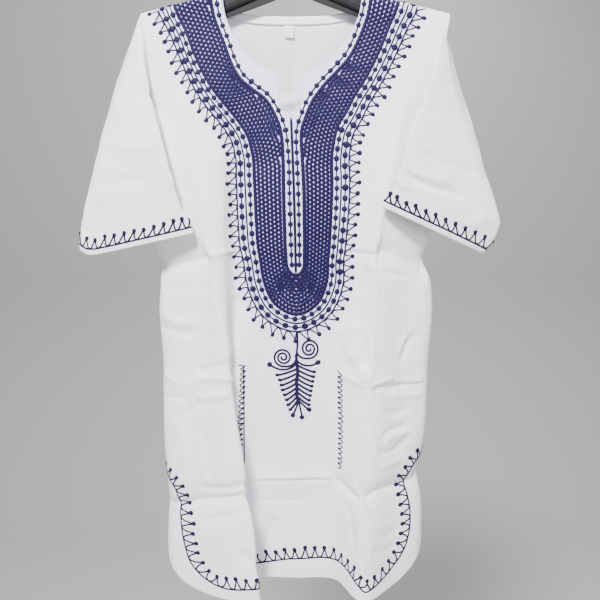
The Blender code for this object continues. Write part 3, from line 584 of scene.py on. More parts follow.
class Sleeve:
    """A sleeve as it hangs: the share round it and the distance above the cuff, placed."""

    AROUND = 240
    ALONG = 140

    def __init__(self, spec, creases, seed):
        self.spec = spec
        self.side = spec["side"]
        around = np.arange(self.AROUND + 1) / self.AROUND
        along = np.linspace(0.0, 1.0, self.ALONG)
        grid_around, grid_along = np.meshgrid(around, along, indexing="ij")
        points = self.loft(grid_around, grid_along)
        steps = np.linalg.norm(np.diff(points, axis=1), axis=2)
        above = np.concatenate([np.cumsum(steps[:, ::-1], axis=1)[:, ::-1],
                                np.zeros((self.AROUND + 1, 1))], axis=1)
        self.points = points
        self.above = above
        self.cuff_places = run_of(points[:, -1])
        self.cuff_length = float(self.cuff_places[-1])
        self.cut_size = (line_length(points[:, 0]), float(above.max()))
        down = np.diff(points, axis=1)[:-1]
        over = np.diff(points, axis=0)[:, :-1]
        self.cut_area = float(np.linalg.norm(np.cross(down, over), axis=2).sum())
        across = grid_around * 0.40
        marks = tuple((kind, height, width, tuple((0.4 * a, d) for a, d in route))
                      for kind, height, width, route in creases)
        relief = crease_relief(marks, across, above)
        wave = crumple(np.cos(2 * math.pi * grid_around) * 0.065 + 0.3 * above,
                       np.sin(2 * math.pi * grid_around) * 0.065 + above, 0.07, seed)
        fine = crumple(np.cos(2 * math.pi * grid_around) * 0.065,
                       np.sin(2 * math.pi * grid_around) * 0.065 + above, 0.020, seed + 3.0)
        relief += 0.0013 * wave + 0.0004 * fine
        relief *= ease(above / 0.02) * 0.8 + 0.2
        relief *= ease((above.max(axis=1, keepdims=True) - above) / 0.03)
        self.relief = relief
        self.around = around

    def loft(self, around, along):
        """From the armhole's ring to the cuff's, with the front folded inward."""
        side = self.side
        front_half = around <= 0.5
        span = np.where(front_half, around * 2, 2 - around * 2)
        depth = SHOULDER_DROP + (UNDERARM_DEPTH - SHOULDER_DROP) * (1 - np.cos(math.pi * span)) / 2
        across = side * pattern_half_width(depth)
        front = FRONT.hung(across, depth)
        back = BACK.hung(across, depth)
        start = np.where(front_half[..., None], front, back)
        start[..., 0] += side * SLEEVE_START_GAP
        tip = (span < 1e-9) | (span > 1 - 1e-9)
        start[..., 1] = np.where(tip, (front[..., 1] + back[..., 1]) / 2, start[..., 1])
        outer = np.array(self.spec["outer"])
        inner = np.array(self.spec["inner"])
        turn = 2 * math.pi * around
        under = ((1 - np.cos(turn)) / 2)[..., None]
        end = outer + (inner - outer) * under
        end[..., 1] -= CUFF_HALF_DEPTH * np.sin(turn)
        end += np.array(self.spec["lift"]) * (np.maximum(0.0, np.cos(turn)) ** 12)[..., None]
        frontness = np.maximum(0.0, np.sin(turn))[..., None]
        backness = np.maximum(0.0, -np.sin(turn))[..., None]
        pull = (1 - under) * np.array(self.spec["shoulder_pull"])
        pull = pull + under * np.array((side * 0.30 * OUTWARD_PULL, -FORWARD_PULL, 0.0))
        pull = pull + frontness * np.array((0.0, -0.8 * FORWARD_PULL, 0.0))
        pull = pull + backness * np.array((side * 0.75 * OUTWARD_PULL, 0.0, 0.0))
        fall = (1 - under) * np.array(self.spec["cuff_fall"])
        fall = fall + under * np.array((0.0, 0.0, INNER_CUFF_FALL))
        t = along[..., None]
        point = start * (1 + 2 * t) * (1 - t) ** 2 + pull * t * (1 - t) ** 2
        point = point + end * t * t * (3 - 2 * t) - fall * t * t * (1 - t)
        reach = self.spec["overlap"] * 1.15 * frontness * np.sqrt(0.3 + 0.7 * under)
        point[..., 0] -= (side * reach * 10.9 * t ** 1.5 * (1 - t) ** 2)[..., 0]
        near_bulge = np.maximum(0.0, 1 - np.abs(along - BULGE_AT) / BULGE_REACH)
        near_bulge = near_bulge * np.maximum(0.0, np.cos(turn)) ** 4
        point[..., 0] += side * self.spec["bulge"] * near_bulge
        return point

    def grid(self, around_count, along_count):
        """Rows of creased points for the sleeve's shell, with their flat places."""
        around = np.arange(around_count) / around_count
        along = np.linspace(0.0, 1.0, along_count)
        return self.place_shares(*np.meshgrid(around, along, indexing="ij"))

    def look_up(self, table, around, along):
        return between(table, np.mod(around, 1.0) * self.AROUND,
                       np.clip(along, 0.0, 1.0) * (self.ALONG - 1))

    def way_out(self, table_reader, around, along):
        step_a = 1.0 / self.AROUND
        step_t = 1.0 / self.ALONG
        low = np.clip(along - step_t, 0.0, 1.0)
        high = np.clip(along + step_t, 0.0, 1.0)
        round_it = table_reader(around + step_a, along) - table_reader(around - step_a, along)
        down_it = table_reader(around, high) - table_reader(around, low)
        return unit(np.cross(round_it, down_it)) * self.side

    def bare(self, around, along):
        return self.look_up(self.points, around, along)

    def place_shares(self, around, along):
        away = self.way_out(self.bare, around, along)
        return self.bare(around, along) + away * self.look_up(self.relief, around, along)[..., None]

    def surface(self, around, above, lift=0.0):
        """Points over the sleeve at a share round it and a distance above the cuff."""
        around = np.asarray(around, dtype=float)
        above = np.asarray(above, dtype=float)
        column = np.minimum((np.mod(around, 1.0) * self.AROUND).astype(int), self.AROUND)
        along = np.array([np.interp(-h, -self.above[c], np.linspace(0.0, 1.0, self.ALONG))
                          for c, h in zip(column.ravel(), above.ravel())]).reshape(around.shape)
        here = self.place_shares(around, along)
        away = self.way_out(self.place_shares, around, along)
        return here + away * lift, away

    def share_at(self, distance):
        """The share round the sleeve at a distance along its cuff's edge."""
        return np.interp(np.mod(distance, self.cuff_length), self.cuff_places, self.around)


# --- materials --------------------------------------------------------------
def srgb(hex_colour):
    """An sRGB hex colour as linear RGBA."""
    channels = [int(hex_colour[i:i + 2], 16) / 255 for i in (0, 2, 4)]
    linear = [c / 12.92 if c <= 0.04045 else ((c + 0.055) / 1.055) ** 2.4 for c in channels]
    return (*linear, 1.0)


def add_node(tree, kind, settings=None, **inputs):
    """A shader node with its settings, its socket values and its links."""
    node = tree.nodes.new(kind)
    for name, value in (settings or {}).items():
        setattr(node, name, value)
    for name, value in inputs.items():
        key = name.replace("_", " ")
        socket = node.inputs[int(key[1:])] if key[0] == "n" and key[1:].isdigit() else node.inputs[key]
        if isinstance(value, bpy.types.NodeSocket):
            tree.links.new(value, socket)
        else:
            socket.default_value = value
    return node


def wave_scale(repeat_mm):
    """Scale of a wave texture on metres that gives one repeat every so many mm."""
    return 1000 / repeat_mm / 20 * math.pi


def new_material(name):
    """An empty node material with its shader."""
    material = bpy.data.materials.new(name)
    material.use_nodes = True
    tree = material.node_tree
    return material, tree, tree.nodes["Principled BSDF"]


def colour_mix(tree, share, first, second):
    """One colour to another by a share."""
    node = add_node(tree, "ShaderNodeMix", {"data_type": "RGBA"})
    node.inputs["A"].default_value = srgb(first)
    node.inputs["B"].default_value = srgb(second)
    tree.links.new(share, node.inputs["Factor"])
    return node.outputs["Result"]


BOUNCE_NEARNESS = "dye_nearness"
BOUNCE_TINT = "b6b0f4"        # painted blue bounce light: the tint the blue thread would throw on the cotton near it


def cotton_poplin(name, light, shade, thread_mm=1.3):
    """Bleached cotton poplin, plain woven, washed and pressed.

    Matt and slightly fuzzy. Its threads are about 0.3 mm, too fine to show, so
    the weave is drawn at thread_mm with slubs, thicker runs in the yarn.
    """
    material, tree, shader = new_material(name)
    flat = add_node(tree, "ShaderNodeUVMap", {"uv_map": "cut"})
    warp = add_node(tree, "ShaderNodeTexWave", {"bands_direction": "X"}, Vector=flat.outputs["UV"],
                    Scale=wave_scale(thread_mm), Distortion=1.2, Detail=1.0)
    weft = add_node(tree, "ShaderNodeTexWave", {"bands_direction": "Y"}, Vector=flat.outputs["UV"],
                    Scale=wave_scale(thread_mm), Distortion=1.2, Detail=1.0)
    weave = add_node(tree, "ShaderNodeMath", {"operation": "MULTIPLY"},
                     n0=warp.outputs["Fac"], n1=weft.outputs["Fac"])
    long_runs = add_node(tree, "ShaderNodeMapping", Vector=flat.outputs["UV"], Scale=(900.0, 60.0, 1.0))
    slubs = add_node(tree, "ShaderNodeTexNoise", Vector=long_runs.outputs["Vector"], Scale=1.0,
                     Detail=2.0)
    place = add_node(tree, "ShaderNodeTexCoord")
    cloudy = add_node(tree, "ShaderNodeTexNoise", Vector=place.outputs["Object"], Scale=14.0,
                      Detail=3.0)
    tone = add_node(tree, "ShaderNodeMath", {"operation": "MULTIPLY"},
                    n0=cloudy.outputs["Fac"], n1=slubs.outputs["Fac"])
    clean = colour_mix(tree, tone.outputs["Value"], light, shade)
    # painted blue bounce light: near the thread the cotton's colour is mixed towards a blue tint
    nearness = add_node(tree, "ShaderNodeAttribute", {"attribute_name": BOUNCE_NEARNESS})
    bounce_tinted = add_node(tree, "ShaderNodeMix", {"data_type": "RGBA"})
    tree.links.new(nearness.outputs["Fac"], bounce_tinted.inputs[0])
    tree.links.new(clean, bounce_tinted.inputs[6])
    bounce_tinted.inputs[7].default_value = srgb(BOUNCE_TINT)
    tree.links.new(bounce_tinted.outputs[2], shader.inputs["Base Color"])
    shader.inputs["Roughness"].default_value = 0.88
    shader.inputs["Specular IOR Level"].default_value = 0.3
    shader.inputs["Sheen Weight"].default_value = 0.12
    shader.inputs["Sheen Roughness"].default_value = 0.5
    relief = add_node(tree, "ShaderNodeMath", {"operation": "ADD"},
                      n0=weave.outputs["Value"], n1=slubs.outputs["Fac"])
    wrinkles = add_node(tree, "ShaderNodeTexNoise", Vector=place.outputs["Object"], Scale=55.0,
                        Detail=4.0, Roughness=0.6, Distortion=0.8)
    rumpled = add_node(tree, "ShaderNodeBump", Height=wrinkles.outputs["Fac"], Strength=0.5,
                       Distance=0.0016)
    bump = add_node(tree, "ShaderNodeBump", Height=relief.outputs["Value"], Strength=0.22,
                    Distance=0.00025, Normal=rumpled.outputs["Normal"])
    tree.links.new(bump.outputs["Normal"], shader.inputs["Normal"])
    return material


def rayon_thread(name, deep, bright, wrap_mm, roughness):
    """Viscose rayon embroidery thread, laid in close satin wraps.

    Silky, so it is smoother than the cotton; the wraps run across each cord and
    catch the light as fine bars. They are drawn wider than the 0.4 mm thread.
    """
    material, tree, shader = new_material(name)
    run = add_node(tree, "ShaderNodeUVMap", {"uv_map": "strand"})
    bars = add_node(tree, "ShaderNodeTexWave", {"bands_direction": "X"}, Vector=run.outputs["UV"],
                    Scale=wave_scale(wrap_mm), Distortion=2.0, Detail=2.0)
    place = add_node(tree, "ShaderNodeTexCoord")
    patches = add_node(tree, "ShaderNodeTexNoise", Vector=place.outputs["Object"], Scale=420.0,
                       Detail=2.0)
    tone = add_node(tree, "ShaderNodeMath", {"operation": "MULTIPLY"},
                    n0=bars.outputs["Fac"], n1=patches.outputs["Fac"])
    tree.links.new(colour_mix(tree, tone.outputs["Value"], deep, bright), shader.inputs["Base Color"])
    shader.inputs["Roughness"].default_value = roughness
    shader.inputs["Specular IOR Level"].default_value = 0.16
    shader.inputs["Sheen Weight"].default_value = 0.03
    shader.inputs["Sheen Roughness"].default_value = 0.4
    bump = add_node(tree, "ShaderNodeBump", Height=bars.outputs["Fac"], Strength=0.5,
                    Distance=0.0003)
    tree.links.new(bump.outputs["Normal"], shader.inputs["Normal"])
    return material


def moulded_polypropylene(name, colour, worn):
    """Injection-moulded black polypropylene: a fine satin grain, paler where handled."""
    material, tree, shader = new_material(name)
    place = add_node(tree, "ShaderNodeTexCoord")
    grain = add_node(tree, "ShaderNodeTexNoise", Vector=place.outputs["Object"], Scale=900.0,
                     Detail=3.0)
    rubbed = add_node(tree, "ShaderNodeTexNoise", Vector=place.outputs["Object"], Scale=32.0,
                      Detail=4.0)
    tree.links.new(colour_mix(tree, rubbed.outputs["Fac"], colour, worn),
                   shader.inputs["Base Color"])
    shader.inputs["Roughness"].default_value = 0.55
    shader.inputs["IOR"].default_value = 1.49
    shader.inputs["Specular IOR Level"].default_value = 0.22
    bump = add_node(tree, "ShaderNodeBump", Height=grain.outputs["Fac"], Strength=0.25,
                    Distance=0.0002)
    tree.links.new(bump.outputs["Normal"], shader.inputs["Normal"])
    return material


def plain_paint(name, colour):
    """Matt paint for the floor and sweep behind the shirt."""
    material, tree, shader = new_material(name)
    shader.inputs["Base Color"].default_value = srgb(colour)
    shader.inputs["Roughness"].default_value = 0.9
    return material


COTTON = cotton_poplin("bleached_cotton_poplin", "e9e9ee", "d9dae3")
COTTON_TAPE = cotton_poplin("cotton_facing_tape", "eeeef1", "dedee4", thread_mm=0.9)
LABEL_SATIN = cotton_poplin("woven_polyester_label", "f4f4f4", "e6e6e8", thread_mm=0.7)
SEWING_THREAD = rayon_thread("white_polyester_sewing_thread", "dcdce2", "f0f0f2", 0.6, 0.6)
BAND_THREAD = rayon_thread("blue_rayon_band_thread", "0d0628", "21144f", 1.4, 0.62)
KNOT_THREAD = rayon_thread("blue_rayon_knot_thread", "0d0628", "20144b", 1.2, 0.62)
LINE_THREAD = rayon_thread("blue_rayon_line_thread", "0f0826", "221848", 1.0, 0.62)
BLACK_PLASTIC = moulded_polypropylene("moulded_black_polypropylene", "121315", "1d1f21")


# --- making meshes -----------------------------------------------------------
def link_piece(name, mesh, material):
    """A finished piece in the scene, riding on the shirt."""
    piece = bpy.data.objects.new(name, mesh)
    bpy.context.scene.collection.objects.link(piece)
    mesh.materials.append(material)
    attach(piece, BODY)
    return piece


def mesh_from(name, points, faces, uv_name, uv):
    """A smooth mesh with one UV map, its places given for each point."""
    mesh = bpy.data.meshes.new(name)
    mesh.from_pydata(np.asarray(points).tolist(), [], faces)
    layer = mesh.uv_layers.new(name=uv_name)
    loops = np.empty(len(mesh.loops), dtype=np.int32)
    mesh.loops.foreach_get("vertex_index", loops)
    layer.data.foreach_set("uv", np.asarray(uv, dtype=np.float32)[loops].ravel())
    mesh.shade_smooth()
    return mesh


def give_wall(piece, thickness):
    """A wall for a sheet, half to each side, applied."""
    wall = piece.modifiers.new("wall", "SOLIDIFY")
    wall.thickness = thickness
    wall.offset = 0.0
    bpy.ops.object.select_all(action="DESELECT")
    bpy.context.view_layer.objects.active = piece
    piece.select_set(True)
    bpy.ops.object.modifier_apply(modifier=wall.name)
    piece.select_set(False)


class Sewing:
    """Cords and knots of one thread, gathered into one mesh."""

    def __init__(self):
        self.points = []
        self.uv = []
        self.faces = []
        self.count = 0

    def add(self, points, faces, uv):
        self.points.append(points)
        self.uv.append(uv)
        self.faces += [[index + self.count for index in face] for face in faces]
        self.count += len(points)

    def cord(self, line, away, width, height, sides=6, ends=0.6):
        """A flattened cord along a line that lies on the cloth."""
        along = unit(np.gradient(line, axis=0))
        across = unit(np.cross(along, away))
        up = np.cross(across, along)
        turns = 2 * math.pi * (np.arange(sides) + 0.5) / sides
        widths = np.ones(len(line)) * width
        widths[0] *= ends
        widths[-1] *= ends
        rings = (line[:, None, :]
                 + 0.5 * (widths[:, None] * np.cos(turns))[..., None] * across[:, None, :]
                 + 0.5 * (height * np.sin(turns))[None, :, None] * up[:, None, :])
        count = len(line)
        first = np.arange(count - 1)[:, None] * sides
        corner = np.arange(sides)[None, :]
        after = (corner + 1) % sides
        quads = np.stack([first + corner, first + after, first + sides + after,
                          first + sides + corner], axis=-1).reshape(-1, 4)
        faces = quads.tolist()
        faces.append(list(range(sides))[::-1])
        faces.append([(count - 1) * sides + k for k in range(sides)])
        run = run_of(line)
        uv = np.stack([np.repeat(run, sides), np.tile(np.arange(sides) / sides * width, count)],
                      axis=1)
        self.add(rings.reshape(-1, 3), faces, uv)

    def knot(self, point, along, away, length, width, height):
        """A domed knot of satin stitches."""
        away = unit(away)
        across = unit(np.cross(along, away))
        along = np.cross(away, across)
        shape = KNOT_POINTS
        placed = (point + shape[:, :1] * across * width / 2 + shape[:, 1:2] * along * length / 2
                  + shape[:, 2:] * away * height)
        uv = np.stack([shape[:, 1] * length / 2, shape[:, 0] * width / 2], axis=1)
        self.add(placed, KNOT_FACES, uv)

    def finish(self, name, material):
        mesh = mesh_from(name, np.vstack(self.points), self.faces, "strand", np.vstack(self.uv))
        return link_piece(name, mesh, material)


def model_knot():
    """One knot, modelled as half a ball with a flat foot, to be copied."""
    bpy.ops.object.select_all(action="DESELECT")
    bpy.ops.mesh.primitive_uv_sphere_add(segments=8, ring_count=6, radius=1.0)
    ball = bpy.context.object
    bpy.ops.object.mode_set(mode="EDIT")
    bpy.ops.mesh.select_all(action="SELECT")
    bpy.ops.mesh.bisect(plane_co=(0, 0, -0.2), plane_no=(0, 0, -1), clear_outer=True,
                        use_fill=True)
    bpy.ops.mesh.select_all(action="SELECT")
    bpy.ops.mesh.normals_make_consistent(inside=False)
    bpy.ops.object.mode_set(mode="OBJECT")
    points = np.array([vertex.co[:] for vertex in ball.data.vertices])
    faces = [list(face.vertices) for face in ball.data.polygons]
    bpy.data.objects.remove(ball)
    return points, faces


KNOT_POINTS, KNOT_FACES = model_knot()


# --- the cloth pieces ---------------------------------------------------------
FRONT = Drape(FRONT_SECTIONS, FRONT_CENTRE, -1.0, FRONT_CREASES, 1.7)
BACK = Drape(BACK_SECTIONS, BACK_CENTRE, 1.0, BACK_CREASES, 8.3)
LEVEL_DEPTH = 0.370        # rows of the panels run level from here down
ROW_STEP = 0.0042
FOLD_BANDS = ((0.370, 0.414), (0.545, 0.606), (0.736, 0.796))   # where the pressed folds cross


def graded(start, end, step, bands):
    """Places from start to end, at half the step inside the bands."""
    places = [start]
    while places[-1] < end:
        inside = any(low <= places[-1] < high for low, high in bands)
        places.append(places[-1] + (0.5 * step if inside else step))
    return start + (np.array(places) - start) * (end - start) / (places[-1] - start)


def fine_rows(neck_depths, last_neck, slit_end):
    """Depth at the centre line and at the side for each row of a panel."""
    rows = [(depth, SHOULDER_DROP + depth * 1.05) for depth in neck_depths]
    start_side = rows[-1][1]
    count = int((0.345 - start_side) / ROW_STEP)
    for step in range(1, count + 1):
        share = step / (count + 1)
        rows.append((last_neck + (LEVEL_DEPTH - last_neck) * share,
                     start_side + (LEVEL_DEPTH - start_side) * share))
    corner_top = SHIRT_LENGTH - CORNER_RISE
    levels = graded(LEVEL_DEPTH, corner_top, ROW_STEP, FOLD_BANDS)
    if slit_end:
        levels[np.abs(levels - slit_end).argmin()] = slit_end
    rows += [(depth, depth) for depth in levels]
    for angle in np.radians(np.linspace(0, 90, 30))[1:]:
        depth = corner_top + CORNER_RISE * math.sin(angle)
        rows.append((depth, depth))
    return rows


def make_panel(name, drape, neck, neck_depths, slit_end, columns):
    """The front's or the back's shell: two halves of the cut joined at the centre."""
    rows = fine_rows(neck_depths, neck_depths[-1], slit_end)
    open_until = slit_end if slit_end else neck_depths[-1] - 1e-6
    flat = []
    places = {}
    for half in (-1.0, 1.0):
        for r, (centre_depth, side_depth) in enumerate(rows):
            inner = neck(centre_depth) if centre_depth < open_until else 0.0
            outer = float(edge_half_width(side_depth))
            for c, share in enumerate(columns[half]):
                if c == 0 and inner == 0.0 and (-1.0, r, 0) in places:
                    places[(half, r, c)] = places[(-1.0, r, 0)]
                    continue
                across = inner + (outer - inner) * share
                depth = centre_depth + (side_depth - centre_depth) * share
                places[(half, r, c)] = len(flat)
                flat.append((half * across, depth))
    faces = []
    for half in (-1.0, 1.0):
        for r in range(len(rows) - 1):
            for c in range(len(columns[half]) - 1):
                face = [places[(half, r, c)], places[(half, r + 1, c)],
                        places[(half, r + 1, c + 1)], places[(half, r, c + 1)]]
                if half * drape.facing > 0:
                    face.reverse()
                faces.append(face)
    flat = np.array(flat)
    points = drape.creased(flat[:, 0], flat[:, 1])
    mesh = mesh_from(name, points, faces, "cut", flat)
    piece = link_piece(name, mesh, COTTON)
    give_wall(piece, WALL)
    return piece


TOP_ROWS = [0.0, 0.0006, 0.0015, 0.003, 0.005, 0.0075, 0.0105]
front_rows = TOP_ROWS + list(np.linspace(0.0145, 0.092, 20)) + list(np.linspace(0.0955, 0.1165, 9))
front_rows += list(np.linspace(0.985 * NECK_DROP, NOTCH_FLOOR, 15))
front_rows += list(NOTCH_FLOOR + NOTCH_CORNER * np.array((0.35, 0.6, 0.8, 0.93, 1.0)))
front_rows += list(np.linspace(NOTCH_FLOOR + 0.005, NOTCH_DEPTH, 5))
back_rows = TOP_ROWS + [0.013, 0.016, 0.019, 0.0215, 0.0235, 0.0255, 0.0267, 0.0274, BACK_NECK_DROP]
left_columns = list(np.linspace(0.0, 0.26, 16)[:-1]) + list(np.linspace(0.26, 0.58, 34)[:-1])
left_columns += list(np.linspace(0.58, 0.96, 25)[:-1]) + [0.96, 0.975, 0.99, 1.0]
right_columns = list(np.linspace(0.0, 0.42, 24)[:-1]) + list(np.linspace(0.42, 0.58, 20)[:-1])
right_columns += list(np.linspace(0.58, 0.96, 24)) + [0.975, 0.99, 1.0]
back_columns = list(np.linspace(0.0, 0.96, 56)) + [0.975, 0.99, 1.0]
front = make_panel("front_cloth", FRONT, front_neck, front_rows, SLIT_END,
                   {-1.0: left_columns, 1.0: right_columns})
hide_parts("front")
back = make_panel("back_cloth", BACK, back_neck, back_rows, None,
                  {-1.0: back_columns, 1.0: back_columns})
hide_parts("back")

SLEEVE_AROUND = 120
SLEEVE_ALONG = 78
sleeve_drapes = {}
for seed, (arm, spec) in enumerate(SLEEVES.items()):
    drape = Sleeve(spec, SLEEVE_CREASES[arm], 20.0 + 7.0 * seed)
    sleeve_drapes[arm] = drape
    points = drape.grid(SLEEVE_AROUND, SLEEVE_ALONG)
    faces = []
    for a in range(SLEEVE_AROUND):
        b = (a + 1) % SLEEVE_AROUND
        for t in range(SLEEVE_ALONG - 1):
            face = [a * SLEEVE_ALONG + t, b * SLEEVE_ALONG + t,
                    b * SLEEVE_ALONG + t + 1, a * SLEEVE_ALONG + t + 1]
            if spec["side"] > 0:
                face.reverse()
            faces.append(face)
    share = np.arange(SLEEVE_AROUND) / SLEEVE_AROUND
    around, along = np.meshgrid(0.5 - np.abs(share - 0.5), np.linspace(0, 1, SLEEVE_ALONG),
                                indexing="ij")
    uv = np.stack([around * 0.42, along * 0.33], axis=-1).reshape(-1, 2)
    mesh = mesh_from("sleeve_cloth_" + arm, points.reshape(-1, 3), faces, "cut", uv)
    piece = link_piece("sleeve_cloth_" + arm, mesh, COTTON)
    give_wall(piece, WALL)
    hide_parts("sleeve_" + arm)


# --- embroidery ---------------------------------------------------------------
# The plastron from each shoulder seam down to where both sides are alike, mm on the
# cut: the band's inner edge and its outer edge at the same station.
LEFT_STATIONS = (
    ((119, 5), (173, 17)),
    ((113, 39), (159, 54)),
    ((104, 70), (151, 87)),
    ((95, 101), (139, 119)),
    ((82, 124), (123, 145)),
    ((62, 140), (103, 167)),
    ((42, 154), (85, 187)),
    ((28, 174), (73, 204)),
    ((18, 200), (66, 222)),
)
RIGHT_STATIONS = (
    ((114, 5), (152, 12)),
    ((108, 39), (142, 44)),
    ((102, 66), (137, 72)),
    ((92, 92), (130, 98)),
    ((76, 112), (119, 124)),
    ((57, 131), (104, 148)),
    ((37, 155), (91, 171)),
    ((25, 178), (76, 192)),
    ((16, 202), (67, 216)),
)
LOWER_STATIONS = (
    ((15, 240), (60, 245)),
    ((15, 290), (57, 290)),
    ((15, 340), (56, 340)),
    ((15, 380), (55, 383)),
    ((14, 398), (50, 421)),
    ((8, 408), (33, 455)),
    ((0, 411), (0, 471)),
)
FAN_STATION = 12           # from here the band turns round the slot's foot
CELL_WIDTH = 6.1 * MM
CELL_BLEND = 25            # places of the band's line over which a cord comes in or ends
NECK_DOTS_INSIDE = 8.5 * MM
SLIT_DOTS_END = 0.397
SLIT_LINE_START = 181
LEFT_ROWS_SPREAD = 0.93    # the rows lie closer together by the left shoulder
ROWS_SPREAD_FROM = 0.150
ROWS_SPREAD_OVER = 0.080
CELL_PITCH = 6.4 * MM
CELL_SWING = 1.1 * MM
BAND_CORD_WIDTH = 5.1 * MM
BAND_EDGE_WIDTH = 6.2 * MM
LINE_WIDTH = 2.8 * MM
LINE_HEIGHT = 1.0 * MM
STRING_HEIGHT = 0.9 * MM
INNER_DOTS_OUT = 0.0079    # the rows' distances from the band's outer edge
INNER_LINE_OUT = 0.0144
OUTER_DOTS_OUT = 0.0209
OUTER_LINE_OUT = 0.0273
STRING_WIDTH = 2.3 * MM
HEM_STRING_WIDTH = 2.8 * MM
THREAD_RISE = WALL / 2 + 0.0002

random = np.random.default_rng(11)


def lay(drape, sewing, line, width, height, sides=6):
    """Sew a cord along a flat line."""
    points, away = drape.surface(line[:, 0], line[:, 1], THREAD_RISE)
    sewing.cord(points, away, width, height, sides)


def dot(drape, sewing, place, heading, length, width, height=0.0016):
    """Sew one knot at a flat place, its length along the heading."""
    ahead = np.asarray(place) + np.asarray(heading) * 0.001
    ends, away = drape.surface(np.array([place[0], ahead[0]]), np.array([place[1], ahead[1]]),
                               WALL / 2)
    vary = 1 + 0.07 * random.standard_normal(2)
    sewing.knot(ends[0], unit(ends[1] - ends[0]), away[0], length * vary[0], width * vary[1], height)


def dot_row(drape, sewing, line, pitch, length, width, string=STRING_WIDTH):
    """Knots at even steps along a line, joined by their running thread."""
    count = max(2, int(round(line_length(line) / pitch)))
    places = even_steps(line, line_length(line) / count)
    headings = unit(np.gradient(places, axis=0))
    for place, heading in zip(places, headings):
        dot(drape, sewing, place, heading, length, width)
    fine = even_steps(line, 0.003)
    lay(drape, sewing, fine, string, STRING_HEIGHT, 5)


# One swing of a fringe's thread between two knots: share along it, share of its height.
HOOK = np.array(((0.0, 1.0), (0.03, 0.62), (0.20, 0.10), (0.40, 0.12), (0.72, 0.55), (1.0, 1.0)))
SCALLOP = np.array(((0.0, 1.0), (0.09, 0.72), (0.19, 0.40), (0.31, 0.14), (0.47, 0.03), (0.63, 0.09),
                    (0.78, 0.32), (0.91, 0.68), (1.0, 1.0)))


def looped_fringe(drape, sewing, line, pitch, height, dot_size, shape=HOOK, lean=0.0, flip=1.0,
                  even_height=0.0, string=STRING_WIDTH):
    """A thread that swings from knot to knot and touches the line between them."""
    fine = even_steps(line, 0.0015)
    normals = outward(fine) * flip
    tip_line = fine + normals * even_height
    lengths = run_of(drape.surface(tip_line[:, 0], tip_line[:, 1])[0])
    total = lengths[-1]
    count = max(2, int(round(total / pitch)))
    step = total / count
    unit_line = curve_through(shape, 0.07)
    path = []
    tips = []
    for index in range(count):
        vary = 1 + 0.10 * random.standard_normal()
        tall = height * min(max(vary, 0.8), 1.2)
        start = (index + 0.02 * random.standard_normal()) * step
        for share, rise in unit_line[:-1]:
            path.append((start + share * step + lean * rise * step, rise * tall))
        tips.append((start + lean * step, tall))
    path = np.array(path)

    def on_cut(places):
        along = np.clip(places[:, 0], 0.0, total)
        foot = np.stack([np.interp(along, lengths, fine[:, 0]),
                         np.interp(along, lengths, fine[:, 1])], axis=1)
        out = np.stack([np.interp(along, lengths, normals[:, 0]),
                        np.interp(along, lengths, normals[:, 1])], axis=1)
        return foot + unit(out) * places[:, 1:2], unit(out)

    thread, _ = on_cut(path)
    lay(drape, sewing, thread, string, STRING_HEIGHT, 5)
    places, out = on_cut(np.array(tips))
    for place, heading in zip(places, out):
        dot(drape, sewing, place, heading, dot_size * 1.1, dot_size)


def offset(line, distance):
    """A line beside another, outward from the plastron's middle."""
    moved = line + outward(line) * np.reshape(distance, (-1, 1))
    return even_steps(moved, 0.004)


# The band: cords that swing apart and together, so white cells show between them.
# Where the band narrows, the innermost cords run in under the one along its inner edge.
def band_edge(upper_stations, which):
    """One side of an edge of the band, from the shoulder to the middle of its foot."""
    places = np.array([station[which] for station in upper_stations + LOWER_STATIONS], dtype=float) * MM
    places = np.vstack([places, places[-2] * (-1, 1)])
    return smooth(np.arange(len(places), dtype=float), places, fine_stations)


def whole_edge(which):
    """An edge of the band from the left shoulder round its foot to the right shoulder."""
    left = band_edge(LEFT_STATIONS, which) * (-1, 1)
    return np.vstack([left, band_edge(RIGHT_STATIONS, which)[::-1][1:]])


fine_stations = np.linspace(0.0, len(LEFT_STATIONS + LOWER_STATIONS) - 1.0, 1400)
inner_fine = whole_edge(0)
outer_fine = whole_edge(1)
cells_across = np.round(np.linalg.norm(outer_fine - inner_fine, axis=1) / CELL_WIDTH)
cells_across = np.convolve(np.pad(cells_across, CELL_BLEND, mode="edge"),
                           np.full(2 * CELL_BLEND + 1, 1 / (2 * CELL_BLEND + 1)), mode="valid")
middle_run = run_of((inner_fine + outer_fine) / 2)
fan_start = int(np.searchsorted(fine_stations, FAN_STATION))
fan_end = len(outer_fine) - 1 - fan_start
index = np.arange(len(outer_fine))


def cell_phase(line, reaches_fan_start):
    """Turns of the swing along a cord: whole ones round the fan, so the sides still match."""
    run = run_of(line)
    middle = len(line) // 2
    if not reaches_fan_start:
        return (run - run[middle]) / CELL_PITCH
    before = round(middle_run[fan_start] / CELL_PITCH)
    turns = max(2, round((run[fan_end] - run[fan_start]) / CELL_PITCH))
    to_fan = middle_run / middle_run[fan_start] * before
    in_fan = before + turns * (run - run[fan_start]) / (run[fan_end] - run[fan_start])
    beyond = before + turns + (middle_run - middle_run[fan_end]) / middle_run[fan_start] * before
    return np.where(index <= fan_start, to_fan, np.where(index < fan_end, in_fan, beyond))


def lay_cell_cord(sewing, line, number, swing, width):
    """One cord of the band, in the stretches where its line lasts."""
    lasting = np.isfinite(line[:, 0])
    starts = np.flatnonzero(lasting & ~np.concatenate([[False], lasting[:-1]]))
    solid = np.where(lasting[:, None], line, 0.0)
    phase = cell_phase(solid, bool(lasting[fan_start]))
    swayed = line + outward(solid) * (swing * np.cos(2 * math.pi * phase + math.pi * number))[:, None]
    for start in starts:
        stop = start
        while stop < len(line) and lasting[stop]:
            stop += 1
        if stop - start > 12:
            lay(FRONT, sewing, even_steps(swayed[start:stop], 0.0012), width, 0.0016)


